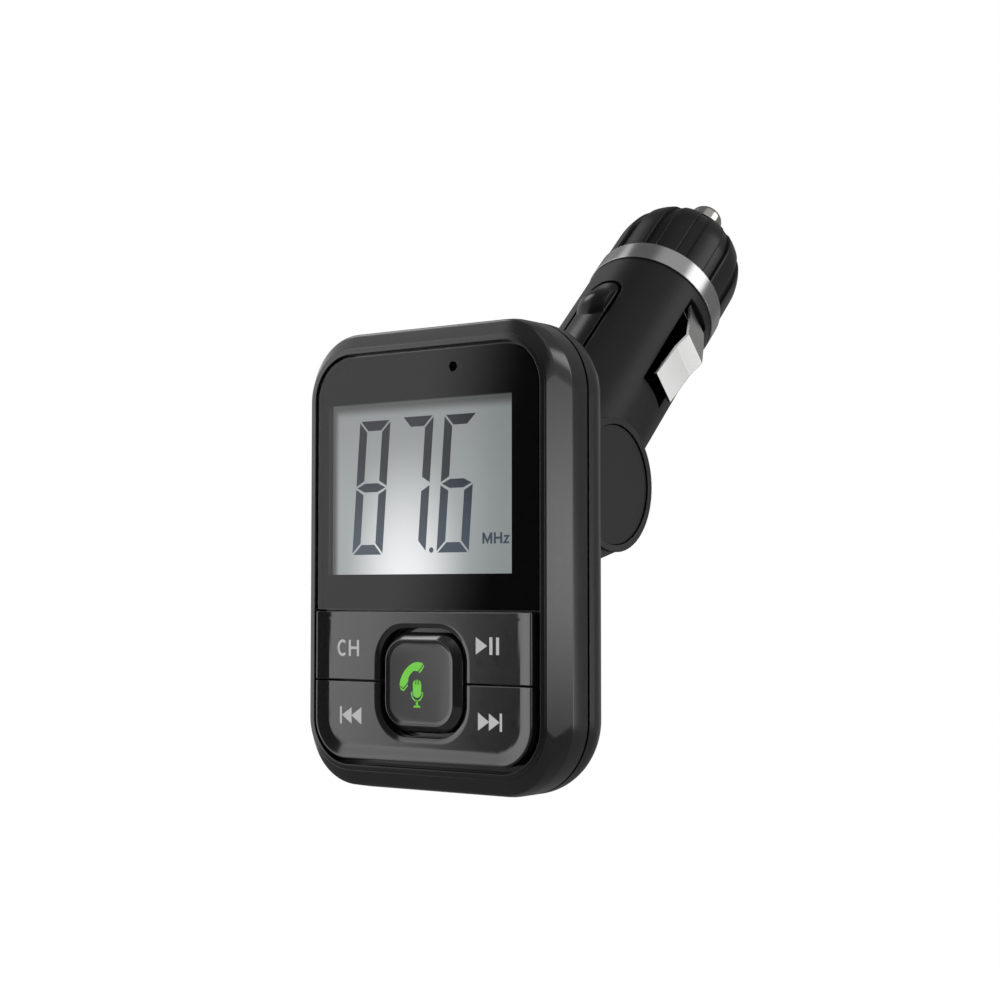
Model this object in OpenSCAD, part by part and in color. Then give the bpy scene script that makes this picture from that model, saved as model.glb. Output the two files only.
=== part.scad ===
// Car FM transmitter: a display head that tilts on a 12 V plug.
// Millimetres. The origin is the centre of the metal ring on the plug's axis, which lies in the
// plane x = 0 and rises to the back. The head stands upright: x to its right, z up, y to its back.

/* [Head case] */
// Width of the display head
head_w = 43.1; // [41:0.1:50]
// Height of the display head
head_h = 61.9; // [60:0.1:70]
// Corner radius of the head seen from the front
head_corner = 9.9; // [9:0.1:12]
// Wall of the two case halves
case_wall = 1.5; // [1.3:0.1:1.8]
// Depth of the front bezel, from its rim to the parting line
bezel_depth = 6.85; // [6.5:0.05:7.2]
// Dark gap seen between the two case halves
seam_gap = 0.45; // [0.2:0.05:0.6]
// How far the chamfer round the front comes in from each side
chamfer_side = 1.75; // [1.5:0.05:1.9]
// How far the chamfer comes in at top and bottom
chamfer_top = 2.3; // [2.1:0.05:2.5]
// Depth of the back edge of the chamfer
chamfer_back = 3.5; // [3:0.1:4]
// Depth of the fold that makes the chamfer fuller at top and bottom
fold_depth = 1.2; // [1:0.1:1.5]
// How far that fold comes in at top and bottom
fold_top = 0.4; // [0.3:0.05:0.6]
// Corner radius at that fold
fold_corner = 7.9; // [7.6:0.1:8.2]
// Radius of the rear shell's back edge
back_round = 5.4; // [4.6:0.1:5.7]
// Room for parts behind the main board
rear_room = 3.1; // [3:0.1:5]

/* [Rim and window] */
// Width of the raised rim's front
rim_t = 0.7; // [0.5:0.05:0.9]
// Corner radius of the raised rim
rim_corner = 6.9; // [6.6:0.1:7.2]
// Width of the groove outside the rim
groove_w = 0.2; // [0.15:0.05:0.35]
// Depth of the groove outside the rim
groove_depth = 0.2; // [0.15:0.05:0.4]
// Gap round the window
window_gap = 0.35; // [0.2:0.05:0.5]
// How far the window lies behind the rim
window_recess = 0.25; // [0.1:0.05:0.4]
// Thickness of the window
window_t = 0.8; // [0.6:0.1:1.2]
// Share of the head's height from its centre down to the line between window and keys
split_share = 0.1141; // [0.1:0.0005:0.13]
// Width of the gap at that line
split_gap = 0.25; // [0.2:0.05:0.4]
// Dark border left of the display
view_left = 1.43; // [1.4:0.05:3]
// Dark border right of the display
view_right = 5.13; // [3.5:0.05:7]
// Dark border over the display
view_top = 6.73; // [6.7:0.05:8]
// Dark border under the display
view_low = 4.85; // [4.8:0.05:6]
// Radius of the microphone hole
mic_hole_r = 0.65; // [0.4:0.05:0.8]

/* [Keys] */
// Gap between the rocker keys and the rim
key_gap = 0.85; // [0.6:0.05:1]
// How far the edge of the rocker keys stands in front of the rim
key_proud = 0.6; // [0.3:0.05:0.9]
// Depth of the dish in the rocker keys
dish_depth = 0.4; // [0.2:0.05:0.6]
// Width of the sloping border of the dish
dish_border = 1.9; // [1.4:0.1:2.2]
// Thickness of the rocker keys under the dish
key_t = 1.8; // [1.5:0.1:2]
// Share of the key panel's height over the seam between the rocker keys
seam_share = 0.4548; // [0.45:0.0005:0.46]
// Width of the seam between the rocker keys
key_seam = 0.2; // [0.15:0.05:0.3]
// Share of the key panel's height that the call key's foot takes
call_share = 0.635; // [0.58:0.005:0.66]
// Corner radius of the call key at its foot
call_corner = 3.9; // [3:0.1:4.5]
// Width of the call key's sloping edge
call_bevel = 0.92; // [0.7:0.02:1.2]
// Gap round the call key
call_gap = 0.6; // [0.55:0.05:0.7]
// Travel of the call key
call_travel = 0.5; // [0.3:0.05:0.5]
// Tilt of a rocker key to each side, in degrees
rocker_tilt = 1.2; // [0.8:0.1:1.3]
// Distance of a rocker's plungers from its pivot
plunger_x = 12; // [11:0.1:13]

/* [Hinge] */
// Distance of the hinge axis behind the rim
hinge_back = 26.65; // [26:0.05:30]
// Height of the hinge axis above the head's centre
hinge_rise = 10.39; // [9.5:0.05:11]
// Radius of the ears' round ends
ear_r = 9.43; // [9.2:0.01:9.5]
// Play of a friction washer between an ear and the knuckle
washer_play = 0.1; // [0.05:0.05:0.5]
// Thickness of an ear
ear_t = 2.8; // [2.7:0.05:3.2]
// Radius of the inset hinge caps
hinge_cap_r = 8.35; // [7.8:0.05:8.4]
// Radius of the pivot pins
pivot_r = 2; // [1.6:0.1:2.4]

/* [Plug] */
// Rise of the plug from level, in degrees
plug_rise = 44.1; // [40:0.1:50]
// Radius of the metal ring, the widest round of the plug
ring_r = 10.5; // [10.4:0.05:10.55]
// How far the metal ring stands out over the barrel
ring_proud = 0.2; // [0.2:0.01:0.25]
// Wall of the barrel
barrel_wall = 1.5; // [1.4:0.05:1.7]
// Distance of the metal ring's near edge from the hinge axis
ring_start = 41.7; // [41.2:0.1:43]
// Length of the metal ring
ring_l = 3.7; // [3:0.1:4.5]
// Radius of the knuckle between the ears
knuckle_r = 8.6; // [8.2:0.1:8.8]
// Width of the knuckle
knuckle_w = 19.4; // [19:0.1:20.5]
// Width of the spring contacts
contact_w = 5.5; // [4.5:0.1:5.8]
// Thickness of the spring contacts
contact_t = 0.45; // [0.3:0.05:0.5]
// Width of the grip tongues
tongue_w = 5; // [4:0.1:5.4]
// Height of the bump on a grip tongue
bump_h = 1.3; // [0.9:0.05:1.5]

/* [Nose] */
// How far the nose cap's grip panels lie inside the barrel's radius
cap_step = 0.05; // [0.03:0.01:0.15]
// Length of the nose cap
cap_l = 15.4; // [15:0.1:18]
// Number of grip panels round the nose cap
cap_panels = 12; // [8:1:16]
// Depth of the grooves between the grip panels
flute_depth = 0.55; // [0.3:0.05:0.7]
// Radius of the contact pin
pin_r = 2.7; // [2.2:0.1:3]
// How far the contact pin stands out of the nose cap
pin_out = 7.4; // [6:0.1:8]
// Travel of the contact pin
pin_travel = 2.5; // [1.5:0.1:2.5]
// Length of the fuse
fuse_l = 20; // [19.5:0.1:20.5]
// Radius of the fuse
fuse_r = 2.6; // [2.4:0.05:2.65]

/* [Hidden] */
$fn = 64;

// How far a cut runs past the surface that it opens
overrun = 1;
// Clearance between parts that lie still against each other
seat = 0.03;
// Radial clearance of parts that turn or slide in each other
running = 0.06;
// Clearance round loose inner parts
loose = 0.15;
// Thickness of the plates that a hull joins
sheet = 0.02;

// Rim, tray and window
rim_w = head_w - 2 * (chamfer_side + groove_w);
rim_h = head_h - 2 * (chamfer_top + groove_w);
fold_share = (fold_depth - groove_depth) / (chamfer_back - groove_depth);
fold_side = chamfer_side * (1 - fold_share);
tray_w = rim_w - 2 * rim_t;
tray_h = rim_h - 2 * rim_t;
tray_corner = rim_corner - rim_t;
mask_t = 0.08;
deck_front = window_recess + window_t + mask_t + 2 * seat;
deck_t = 0.9;
deck_back = deck_front + deck_t;
inner_w = head_w - 2 * case_wall;
inner_h = head_h - 2 * case_wall;
inner_corner = head_corner - case_wall;
split_z = -split_share * head_h;
view_x = (view_left - view_right) / 2;
view_w = tray_w - view_left - view_right;
view_h = tray_h / 2 - view_top - split_z - view_low;
view_z = split_z + view_low + view_h / 2;
mic_share = 0.1137;
mic_x = mic_share * head_w;
mic_in = 2.83;
mic_z = tray_h / 2 - mic_in;

// Rocker and call keys
panel_h = tray_h / 2 + split_z;
key_seam_z = split_z - seam_share * panel_h;
call_size = call_share * panel_h;
key_crest = -key_proud;
key_face = key_crest + dish_depth;
key_back = key_face + key_t;
crest_w = 0.2;
floor_gap = 1.6;
floor_front = key_back + floor_gap;
floor_t = 1;
floor_back = floor_front + floor_t;
web_t = 1.2;
lip_w = 0.6;
lip_depth = 0.2;
call_crest = -0.7;
call_foot = 0.3;
call_dish = 0.15;
well_size = call_size + 2 * call_gap;
well_corner = call_corner + call_gap;
flange_gap = 0.35;
flange_t = 0.6;
flange_over = 0.9;
plunger_r = 1.2;
plunger_hole_r = 1.9;
call_plunger_r = 1.5;
plunger_up_share = 0.2286;
plunger_low_share = 0.66;
plunger_z_up = split_z - plunger_up_share * panel_h;
plunger_z_low = split_z - plunger_low_share * panel_h;
rocker_pin_r = 0.7;
rocker_pin_l = 1.3;
rocker_pin_gap = 0.7;
rocker_pin_y = key_back + rocker_pin_gap;
rocker_web = 0.8;
post_w = 3.2;

// Parts behind the deck: display, its frame and light, then the main board
lcd_border = 0.5;
lcd_top = 0.5;
lcd_ledge = 2.4;
glass_t = 1.1;
lcd_w = view_w + 2 * lcd_border;
lcd_z1 = view_z + view_h / 2 + lcd_top;
lcd_z0 = view_z - view_h / 2 - lcd_ledge;
lcd_front = deck_back + seat;
guide_t = 2.2;
guide_front = lcd_front + 2 * glass_t + seat;
reflector_t = 0.3;
reflector_front = guide_front + guide_t + seat;
frame_wall = 0.5;
frame_floor_front = reflector_front + reflector_t + seat;
frame_floor_t = 1.2;
board_front = frame_floor_front + frame_floor_t + seat;
board_t = 1;
board_back = board_front + board_t;
board_gap = 0.4;
head_depth = board_back + rear_room + case_wall;
seam_back = bezel_depth + seam_gap;
lap_l = 0.9;
lap_t = 1;
zebra_t = 1.6;
led_w = 4;
led_h = 1.2;
tact_size = 4;
tact_t = 1.6;
tact_button_r = 1;
tact_button_l = 0.45;
switch_front = board_front - tact_t - tact_button_l;
call_tip = switch_front - call_travel - loose;
rocker_tip = switch_front - plunger_x * sin(rocker_tilt) - loose;

// Case screws
screw_in_x = 5.75;
screw_in_z = 5.5;
screw_x = head_w / 2 - screw_in_x;
screw_z = head_h / 2 - screw_in_z;
screw_r = 0.95;
screw_head_r = 1.9;
screw_head_l = 1.2;
screw_bite = 3.2;
boss_r = 2.1;
rear_boss_r = 2.6;
screw_grip = 2.1;
screw_seat = board_back + screw_grip;

// Parts on the main board
mic_r = 2;
mic_l = 1.8;
mic_boot_r = 2.4;
part_gap = 0.02;
module_w = 12;
module_h = 14;
module_t = 0.8;
module_can = 9;
module_can_t = 1.5;
chip_size = 5;
chip_t = 0.9;
crystal_w = 3.2;
crystal_h = 2.5;
crystal_t = 0.8;
capacitor_r = 1.3;
capacitor_l = 8;
antenna_r = 0.4;
antenna_share = 0.58;
antenna_l = antenna_share * head_h;
socket_w = 5;
socket_h = 3.4;
socket_t = 2;
parts_share = 0.1856;
parts_x = parts_share * head_w;
module_share = -0.21;
module_z = module_share * head_h;
chip_share = -0.13;
chip_z = chip_share * head_h;
crystal_share = -0.2265;
crystal_z = crystal_share * head_h;
capacitor_share = 0.348;
capacitor_z = capacitor_share * head_h;
antenna_in = 1.6;

// Hinge
ear_step = 0.5;
ear_foot_up = 11;
ear_foot_down = 13.1;
ear_inset = 0.2;
hinge_cap_t = 0.9;
hinge_cap_inset = 0.25;
cap_fit = 0.1;
pivot_head_r = 3.4;
pivot_head_l = 0.7;
pivot_in = 1.6;
washer_r = 6.5;
washer_t = 0.5;
ear_gap = knuckle_w + 2 * (washer_t + washer_play);
lead_r = 0.9;
lead_free = 0.95;
lead_hole_r = 1.8;
grommet_wall = 0.7;
grommet_flange = 0.7;
grommet_flange_t = 0.6;

// Plug
ring_mid = ring_start + ring_l / 2;
ring_end = ring_start + ring_l;
barrel_start = 2;
barrel_r = ring_r - ring_proud;
bore_r = barrel_r - barrel_wall;
bore_start = 11.6;
bore_end = ring_start - barrel_wall;
ring_wall = 1.1;
neck_r = barrel_r - ring_wall;
nose_step = 0.6;
nose_r = neck_r - nose_step;
nose_wall = 1.7;
nose_bore_r = nose_r - nose_wall;
nose_l = 6.4;
nose_end = ring_end + nose_l;
flat_end = 10.2;
knuckle_bore_r = 7;
knuckle_wall = 1.8;
passage_h = 10;
slot_w = 3.4;
slot_from = 122;
slot_to = 284;
slot_r = knuckle_r + barrel_wall;

// Spring contacts: distance from the hinge axis and height over the barrel at each bend
contact_bends = [[21.5, 1.2], [27.8, 1.9], [30.6, 2.8], [34.6, 1.4], [38.1, 0], [39.35, -2.1]];
contact_path = [for (b = contact_bends) [b[0], barrel_r + b[1]]];
contact_curl_r = 0.6;
contact_curl_in = 2.45;
contact_curl = [39.3, barrel_r - contact_curl_in];
window_from = 20.4;
window_to = 39.6;
window_play = 0.2;

// Grip tongues
tongue_root = 17.5;
tongue_tip = 35.3;
tongue_slot = 0.6;
tongue_root_r = 0.68;
tongue_root_in = 0.8;
tongue_root_u = barrel_r - tongue_root_in;
tongue_tip_round = 2.2;
bump_at = 30.7;
bump_l = 6.5;
bump_side = 0.1;

// Plug screws
plug_screw_in = 3.9;
plug_screw_x = barrel_r - plug_screw_in;
passage_wall = 2.4;
passage_w = 2 * (plug_screw_x - passage_wall);
plug_screw_s = 9.2;
plug_screw_r = 0.9;
plug_screw_head_r = 1.65;
plug_screw_head_l = 1;
plug_screw_seat = 4.6;
plug_screw_bite = 4;

// Converter board and its parts
plug_board_t = 1;
plug_board_gap = 0.2;
plug_board_start = bore_start + plug_board_gap;
plug_board_step = 20;
contact_reach = 3.8;
plug_board_slim = 2 * (bore_r - contact_reach);
inductor_r = 3.9;
inductor_l = 4.4;
inductor_s = 16;
ic_w = 5;
ic_l = 4;
ic_t = 1.5;
ic_s = 25;
filter_r = 3;
filter_l = 5.6;
filter_s = 16;

// Fuse, spring, contact pin and nose cap
cap_gap = 0.1;
cap_r = barrel_r - cap_step;
cap_start = ring_end + cap_gap;
cap_end = ring_end + cap_l;
cap_wall = 1.25;
cap_round_l = 8.9;
cap_face_share = 0.4;
cap_face_r = cap_face_share * cap_r;
cap_bore_l = 6.7;
cap_pocket_r = 5.2;
flute_share = 0.35;
bush_t = 1.8;
bush_front = cap_end - cap_wall - seat;
bush_back = bush_front - bush_t;
pin_flange_r = 3.6;
pin_flange_l = 1.2;
pin_flange_front = bush_back - seat;
pin_flange_back = pin_flange_front - pin_flange_l;
pin_tip_l = 1.8;
pin_end = cap_end + pin_out;
fuse_front = pin_flange_back - seat;
fuse_back = fuse_front - fuse_l;
fuse_cap_l = 4.5;
holder_r = 4.4;
holder_bore_r = fuse_r + loose;
holder_gap = 0.35;
holder_front = pin_flange_back - pin_travel - holder_gap;
holder_flange_l = 1.6;
spring_room = 5.2;
terminal_front = fuse_back - spring_room;
terminal_l = 1.2;
terminal_back = terminal_front - terminal_l;
terminal_r = 2.5;
holder_lap = 0.9;
holder_back = terminal_front - holder_lap;
plug_board_end = terminal_back - seat;
spring_turns = 4;
spring_wire_r = 0.25;
spring_r = 1.9;
spring_rings = 8;
spring_sides = 6;

// Colours
black_plastic = [0.10, 0.10, 0.105];
key_black = [0.16, 0.16, 0.165];
metal = [0.78, 0.78, 0.76];
board_green = [0.05, 0.25, 0.12];
chip_black = [0.06, 0.06, 0.06];
copper = [0.72, 0.42, 0.2];

// Frames: the head's, from the middle of its rim, and the plug's, with z along it from the hinge
module in_head() {
    translate([0, -hinge_back - ring_mid * cos(plug_rise), -hinge_rise - ring_mid * sin(plug_rise)])
        children();
}

module in_plug() {
    rotate([plug_rise - 90, 0, 0]) translate([0, 0, -ring_mid]) children();
}

// Extrudes a shape drawn as the head is seen from the front, from one depth to another
module slab(front, back) {
    translate([0, back, 0]) rotate([90, 0, 0]) linear_extrude(back - front) children();
}

module rounded(w, h, r) {
    square([w - 2 * r, h], center = true);
    square([w, h - 2 * r], center = true);
    for (x = [-1, 1], y = [-1, 1]) translate([x * (w / 2 - r), y * (h / 2 - r)]) circle(r);
}

module above(z) {
    translate([-head_w / 2, z]) square([head_w, head_h]);
}

module below(z) {
    translate([-head_w / 2, z - head_h]) square([head_w, head_h]);
}

// Round bar through the head's depth, at a place seen from the front
module post(x, z, r, front, back) {
    translate([x, back, z]) rotate([90, 0, 0]) cylinder(r = r, h = back - front);
}

module at_case_screws() {
    for (x = [-1, 1], z = [-1, 1]) translate([x * screw_x, 0, z * screw_z]) children();
}

// Case halves
module tray_2d() {
    rounded(tray_w, tray_h, tray_corner);
}

module inner_2d() {
    rounded(inner_w, inner_h, inner_corner);
}

module bezel_skin() {
    front_w = head_w - 2 * chamfer_side;
    front_h = head_h - 2 * chamfer_top;
    hull() {
        slab(groove_depth, groove_depth + sheet) rounded(front_w, front_h, rim_corner + groove_w);
        slab(fold_depth, fold_depth + sheet)
            rounded(head_w - 2 * fold_side, head_h - 2 * fold_top, fold_corner);
        slab(chamfer_back, chamfer_back + sheet) rounded(head_w, head_h, head_corner);
        slab(bezel_depth - sheet, bezel_depth) rounded(head_w, head_h, head_corner);
    }
}

module rocker_posts() {
    for (z = [upper_pin_z, lower_pin_z]) translate([0, 0, z]) difference() {
        translate([-post_w / 2, rocker_pin_y, -rocker_pin_l / 2 - loose])
            cube([post_w, floor_front - rocker_pin_y + seat, rocker_pin_l + 2 * loose]);
        translate([0, rocker_pin_y, 0])
            cylinder(r = rocker_pin_r + running, h = rocker_pin_l + 4 * loose, center = true);
    }
}

module front_bezel() {
    color(black_plastic) in_head() {
        difference() {
            union() {
                difference() {
                    union() {
                        bezel_skin();
                        slab(0, chamfer_back) rounded(rim_w, rim_h, rim_corner);
                    }
                    slab(-overrun, deck_front) tray_2d();
                    slab(-overrun, floor_front) intersection() {
                        tray_2d();
                        below(split_z);
                    }
                    slab(floor_back, bezel_depth + overrun) inner_2d();
                    slab(deck_back, floor_back + overrun) intersection() {
                        inner_2d();
                        above(split_z + web_t);
                    }
                }
                at_case_screws() post(0, 0, boss_r, deck_back - seat, board_front - seat);
            }
            slab(-overrun, floor_front) intersection() {
                tray_2d();
                below(split_z);
            }
            slab(deck_front - overrun, deck_back + overrun)
                translate([view_x, view_z]) square([view_w, view_h], center = true);
            post(mic_x, mic_z, mic_hole_r, deck_front - overrun, deck_back + overrun);
            at_case_screws() post(0, 0, screw_r + seat, board_front - screw_bite - loose, board_front);
            for (x = [-1, 1], z = [plunger_z_up, plunger_z_low])
                post(x * plunger_x, z, plunger_hole_r, floor_front - overrun, floor_back + overrun);
            post(0, key_seam_z, call_plunger_r + loose, floor_front - overrun, floor_back + overrun);
        }
        rocker_posts();
    }
}

// Shell outline seen along the head, of one width, with its back edges rounded
module back_profile(w, front, back, round_r) {
    intersection() {
        translate([-w / 2, front]) square([w, back - front]);
        union() {
            translate([-w / 2, front - overrun]) square([w, back - front + overrun - round_r]);
            translate([round_r - w / 2, front]) square([w - 2 * round_r, back - front + overrun]);
            for (x = [-1, 1]) translate([x * (w / 2 - round_r), back - round_r]) circle(round_r);
        }
    }
}

// Box with rounded corners and a rounded back edge, drawn in from the head's outline
module rear_skin(front, back, inset) {
    r = head_corner - inset;
    round_r = back_round - inset;
    w = head_w - 2 * inset;
    h = head_h - 2 * inset;
    linear_extrude(h - 2 * r, center = true) back_profile(w, front, back, round_r);
    rotate([0, 90, 0]) linear_extrude(w - 2 * r, center = true)
        back_profile(h, front, back, round_r);
    for (x = [-1, 1], z = [-1, 1]) translate([x * (w / 2 - r), 0, z * (h / 2 - r)])
        rotate([0, z > 0 ? (x > 0 ? 270 : 180) : (x > 0 ? 0 : 90), 0]) rotate([-90, 0, 0])
        rotate_extrude(angle = 90) intersection() {
            back_profile(2 * r, front, back, round_r);
            translate([0, front]) square([r, back - front]);
        }
}

// Point where a line from p touches a circle round the hinge, on the side of the sign given
function touch(p, r, side) = let (d = norm(p), a = atan2(p[1], p[0]) + side * acos(r / d))
    r * [cos(a), sin(a)];

module ear(side) {
    inner_x = side > 0 ? ear_gap / 2 : -ear_gap / 2 - ear_t;
    web_x = side > 0 ? ear_gap / 2 : -ear_gap / 2 - ear_t + ear_step;
    root = head_depth - case_wall / 2 - hinge_back;
    web_r = ear_r - ear_inset;
    top = touch([root, ear_foot_up], web_r, -1);
    low = touch([root, -ear_foot_down], web_r, 1);
    translate([web_x, hinge_back, hinge_rise]) rotate([90, 0, 90])
        linear_extrude(ear_t - ear_step)
        polygon([[root, -ear_foot_down], low, [0, 0], top, [root, ear_foot_up]]);
    translate([inner_x, hinge_back, hinge_rise]) rotate([0, 90, 0]) cylinder(r = ear_r, h = ear_t);
}

module rear_shell() {
    ear_out = ear_gap / 2 + ear_t;
    cap_floor = ear_out - hinge_cap_inset - hinge_cap_t - seat;
    color(black_plastic) in_head() difference() {
        union() {
            difference() {
                rear_skin(seam_back, head_depth, 0);
                difference() {
                    rear_skin(seam_back - overrun, head_depth - case_wall, case_wall);
                    at_case_screws() post(0, 0, rear_boss_r, board_back + seat, head_depth);
                }
            }
            difference() {
                union() {
                    slab(bezel_depth - lap_l, seam_back + seat)
                        rounded(inner_w - 2 * loose, inner_h - 2 * loose, inner_corner - loose);
                    slab(seam_back, board_front - loose) rounded(inner_w + case_wall,
                        inner_h + case_wall, inner_corner + case_wall / 2);
                }
                slab(bezel_depth - lap_l - overrun, board_front + overrun) rounded(
                    inner_w - 2 * lap_t - 2 * loose, inner_h - 2 * lap_t - 2 * loose,
                    inner_corner - lap_t - loose);
                at_case_screws() post(0, 0, boss_r + loose, bezel_depth - lap_l - overrun,
                    board_front + overrun);
            }
            for (side = [-1, 1]) ear(side);
        }
        at_case_screws() {
            post(0, 0, screw_r + loose, board_back - overrun, screw_seat + overrun);
            post(0, 0, screw_head_r + loose, screw_seat, head_depth + overrun);
        }
        post(0, hinge_rise, lead_hole_r, head_depth - case_wall - overrun, head_depth + overrun);
        translate([0, hinge_back, hinge_rise]) rotate([0, 90, 0]) {
            cylinder(r = pivot_r + seat, h = 2 * ear_out + overrun, center = true);
            for (side = [-1, 1]) {
                translate([0, 0, side * (cap_floor + ear_t)])
                    cylinder(r = hinge_cap_r + cap_fit, h = 2 * ear_t, center = true);
                translate([0, 0, side * (cap_floor - pivot_head_l - seat + ear_t)])
                    cylinder(r = pivot_head_r + cap_fit, h = 2 * ear_t, center = true);
            }
        }
    }
}

module case_screws() {
    color(metal) in_head() at_case_screws() {
        post(0, 0, screw_r, board_front - screw_bite, screw_seat + sheet);
        difference() {
            post(0, 0, screw_head_r, screw_seat + seat, screw_seat + seat + screw_head_l);
            for (a = [0, 90]) translate([0, screw_seat + screw_head_l, 0]) rotate([0, a, 0])
                cube([2 * screw_r, screw_head_l, screw_r / 2], center = true);
        }
    }
}

// Window, display and light
module display_window() {
    color([0.12, 0.12, 0.13]) in_head() difference() {
        slab(window_recess, window_recess + window_t) intersection() {
            rounded(tray_w - 2 * window_gap, tray_h - 2 * window_gap, tray_corner - window_gap);
            above(split_z + split_gap / 2);
        }
        post(mic_x, mic_z, mic_hole_r, -overrun, deck_front);
    }
}

module window_mask() {
    front = window_recess + window_t + seat;
    color([0.02, 0.02, 0.02]) in_head() difference() {
        slab(front, front + mask_t) intersection() {
            rounded(tray_w - 2 * window_gap, tray_h - 2 * window_gap, tray_corner - window_gap);
            above(split_z + split_gap / 2);
        }
        slab(front - overrun, front + overrun)
            translate([view_x, view_z]) square([view_w, view_h], center = true);
        post(mic_x, mic_z, mic_hole_r, -overrun, deck_front);
    }
}

module display_box(front, back, z0, z1, grow) {
    slab(front, back) translate([view_x - lcd_w / 2 - grow, z0 - grow])
        square([lcd_w + 2 * grow, z1 - z0 + 2 * grow]);
}

module lcd_panel() {
    color([0.62, 0.66, 0.65]) in_head() {
        display_box(lcd_front, lcd_front + glass_t, lcd_z0, lcd_z1, 0);
        display_box(lcd_front + glass_t, lcd_front + 2 * glass_t, lcd_z0 + lcd_ledge, lcd_z1, 0);
    }
}

module lcd_frame() {
    color([0.85, 0.85, 0.83]) in_head() difference() {
        display_box(deck_back + seat, board_front - seat, lcd_z0, lcd_z1, loose + frame_wall);
        display_box(deck_back - overrun, frame_floor_front, lcd_z0, lcd_z1, loose);
        zebra_space(frame_floor_front - overrun, board_front, loose);
    }
}

module zebra_space(front, back, grow) {
    slab(front, back) translate([view_x - view_w / 2 - grow, lcd_z0 + seat])
        square([view_w + 2 * grow, zebra_t + grow]);
}

module backlight_guide() {
    color([0.92, 0.94, 0.95]) in_head() difference() {
        display_box(guide_front, guide_front + guide_t, lcd_z0 + lcd_ledge, lcd_z1, 0);
        slab(guide_front - overrun, guide_front + guide_t + overrun)
            translate([view_x, lcd_z0 + lcd_ledge]) square([led_w, 2 * led_h], center = true);
    }
}

module backlight_led() {
    color([0.95, 0.95, 0.85]) in_head() slab(guide_front, guide_front + guide_t)
        translate([view_x - led_w / 2 + seat, lcd_z0 + lcd_ledge])
        square([led_w - 2 * seat, led_h - seat]);
}

module reflector_sheet() {
    color([0.97, 0.97, 0.97]) in_head()
        display_box(reflector_front, reflector_front + reflector_t, lcd_z0 + lcd_ledge, lcd_z1, 0);
}

module zebra_connector() {
    color([0.75, 0.55, 0.6]) in_head()
        zebra_space(lcd_front + glass_t + seat, board_front - seat, 0);
}

// Main board and what is on it
module main_board() {
    color(board_green) in_head() difference() {
        slab(board_front, board_back) rounded(inner_w - 2 * board_gap, inner_h - 2 * board_gap,
            inner_corner - board_gap);
        at_case_screws() post(0, 0, screw_r + loose, board_front - overrun, board_back + overrun);
    }
}

module tact_switches() {
    color(chip_black) in_head() {
        for (p = [[-plunger_x, plunger_z_up], [plunger_x, plunger_z_up], [0, key_seam_z],
                [-plunger_x, plunger_z_low], [plunger_x, plunger_z_low]]) {
            slab(board_front - tact_t, board_front - part_gap)
                translate(p) square(tact_size, center = true);
            post(p[0], p[1], tact_button_r, switch_front, board_front - tact_t + seat);
        }
    }
}

module microphone() {
    color(metal) in_head()
        post(mic_x, mic_z, mic_r, board_front - part_gap - mic_l, board_front - part_gap);
}

module mic_boot() {
    color([0.08, 0.08, 0.08]) in_head() difference() {
        post(mic_x, mic_z, mic_boot_r, deck_back + seat, board_front - part_gap);
        post(mic_x, mic_z, mic_r + part_gap, board_front - mic_l - 2 * part_gap - seat, board_front);
        post(mic_x, mic_z, mic_hole_r, deck_back - overrun, board_front);
    }
}

// A flat part on the back of the main board, from its middle
module on_board(x, z, w, h, t) {
    slab(board_back + part_gap, board_back + part_gap + t) translate([x, z])
        square([w, h], center = true);
}

module bluetooth_module() {
    color([0.05, 0.15, 0.3]) in_head() on_board(-parts_x, module_z, module_w, module_h, module_t);
    color(metal) in_head() on_board(-parts_x, module_z - (module_h - module_can) / 4, module_can,
        module_can, module_t + module_can_t);
}

module transmitter_chip() {
    color(chip_black) in_head() on_board(parts_x, chip_z, chip_size, chip_size, chip_t);
}

module crystal() {
    color(metal) in_head() on_board(parts_x, crystal_z, crystal_w, crystal_h, crystal_t);
}

module storage_capacitor() {
    color([0.1, 0.1, 0.12]) in_head()
        translate([parts_x, board_back + part_gap + capacitor_r, capacitor_z]) rotate([0, 90, 0])
        cylinder(r = capacitor_r, h = capacitor_l, center = true);
}

module antenna_wire() {
    color([0.7, 0.1, 0.1]) in_head()
        translate([-inner_w / 2 + board_gap + antenna_in, board_back + part_gap + antenna_r, 0])
        cylinder(r = antenna_r, h = antenna_l, center = true);
}

module lead_socket() {
    color([0.9, 0.88, 0.8]) in_head() on_board(0, hinge_rise, socket_w, socket_h, socket_t);
}

module head_lead() {
    color([0.07, 0.07, 0.07]) in_head() post(0, hinge_rise, lead_r,
        board_back + part_gap + socket_t + seat, hinge_back - lead_free);
}

module lead_grommet() {
    color([0.06, 0.06, 0.06]) in_head() difference() {
        union() {
            post(0, hinge_rise, lead_hole_r - seat, head_depth - case_wall - loose,
                head_depth + grommet_flange_t);
            post(0, hinge_rise, lead_hole_r + grommet_flange, head_depth + seat,
                head_depth + grommet_flange_t);
        }
        post(0, hinge_rise, lead_r + part_gap, head_depth - case_wall - overrun,
            head_depth + overrun + grommet_flange_t);
    }
}

// Hinge parts, drawn on the hinge axis
module on_hinge() {
    in_head() translate([0, hinge_back, hinge_rise]) rotate([0, 90, 0]) children();
}

module hinge_cap(side) {
    out = ear_gap / 2 + ear_t - hinge_cap_inset;
    color(black_plastic) on_hinge() translate([0, 0, side * (out - hinge_cap_t / 2)])
        cylinder(r = hinge_cap_r, h = hinge_cap_t, center = true);
}

module hinge_cap_left() {
    hinge_cap(-1);
}

module hinge_cap_right() {
    hinge_cap(1);
}

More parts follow.
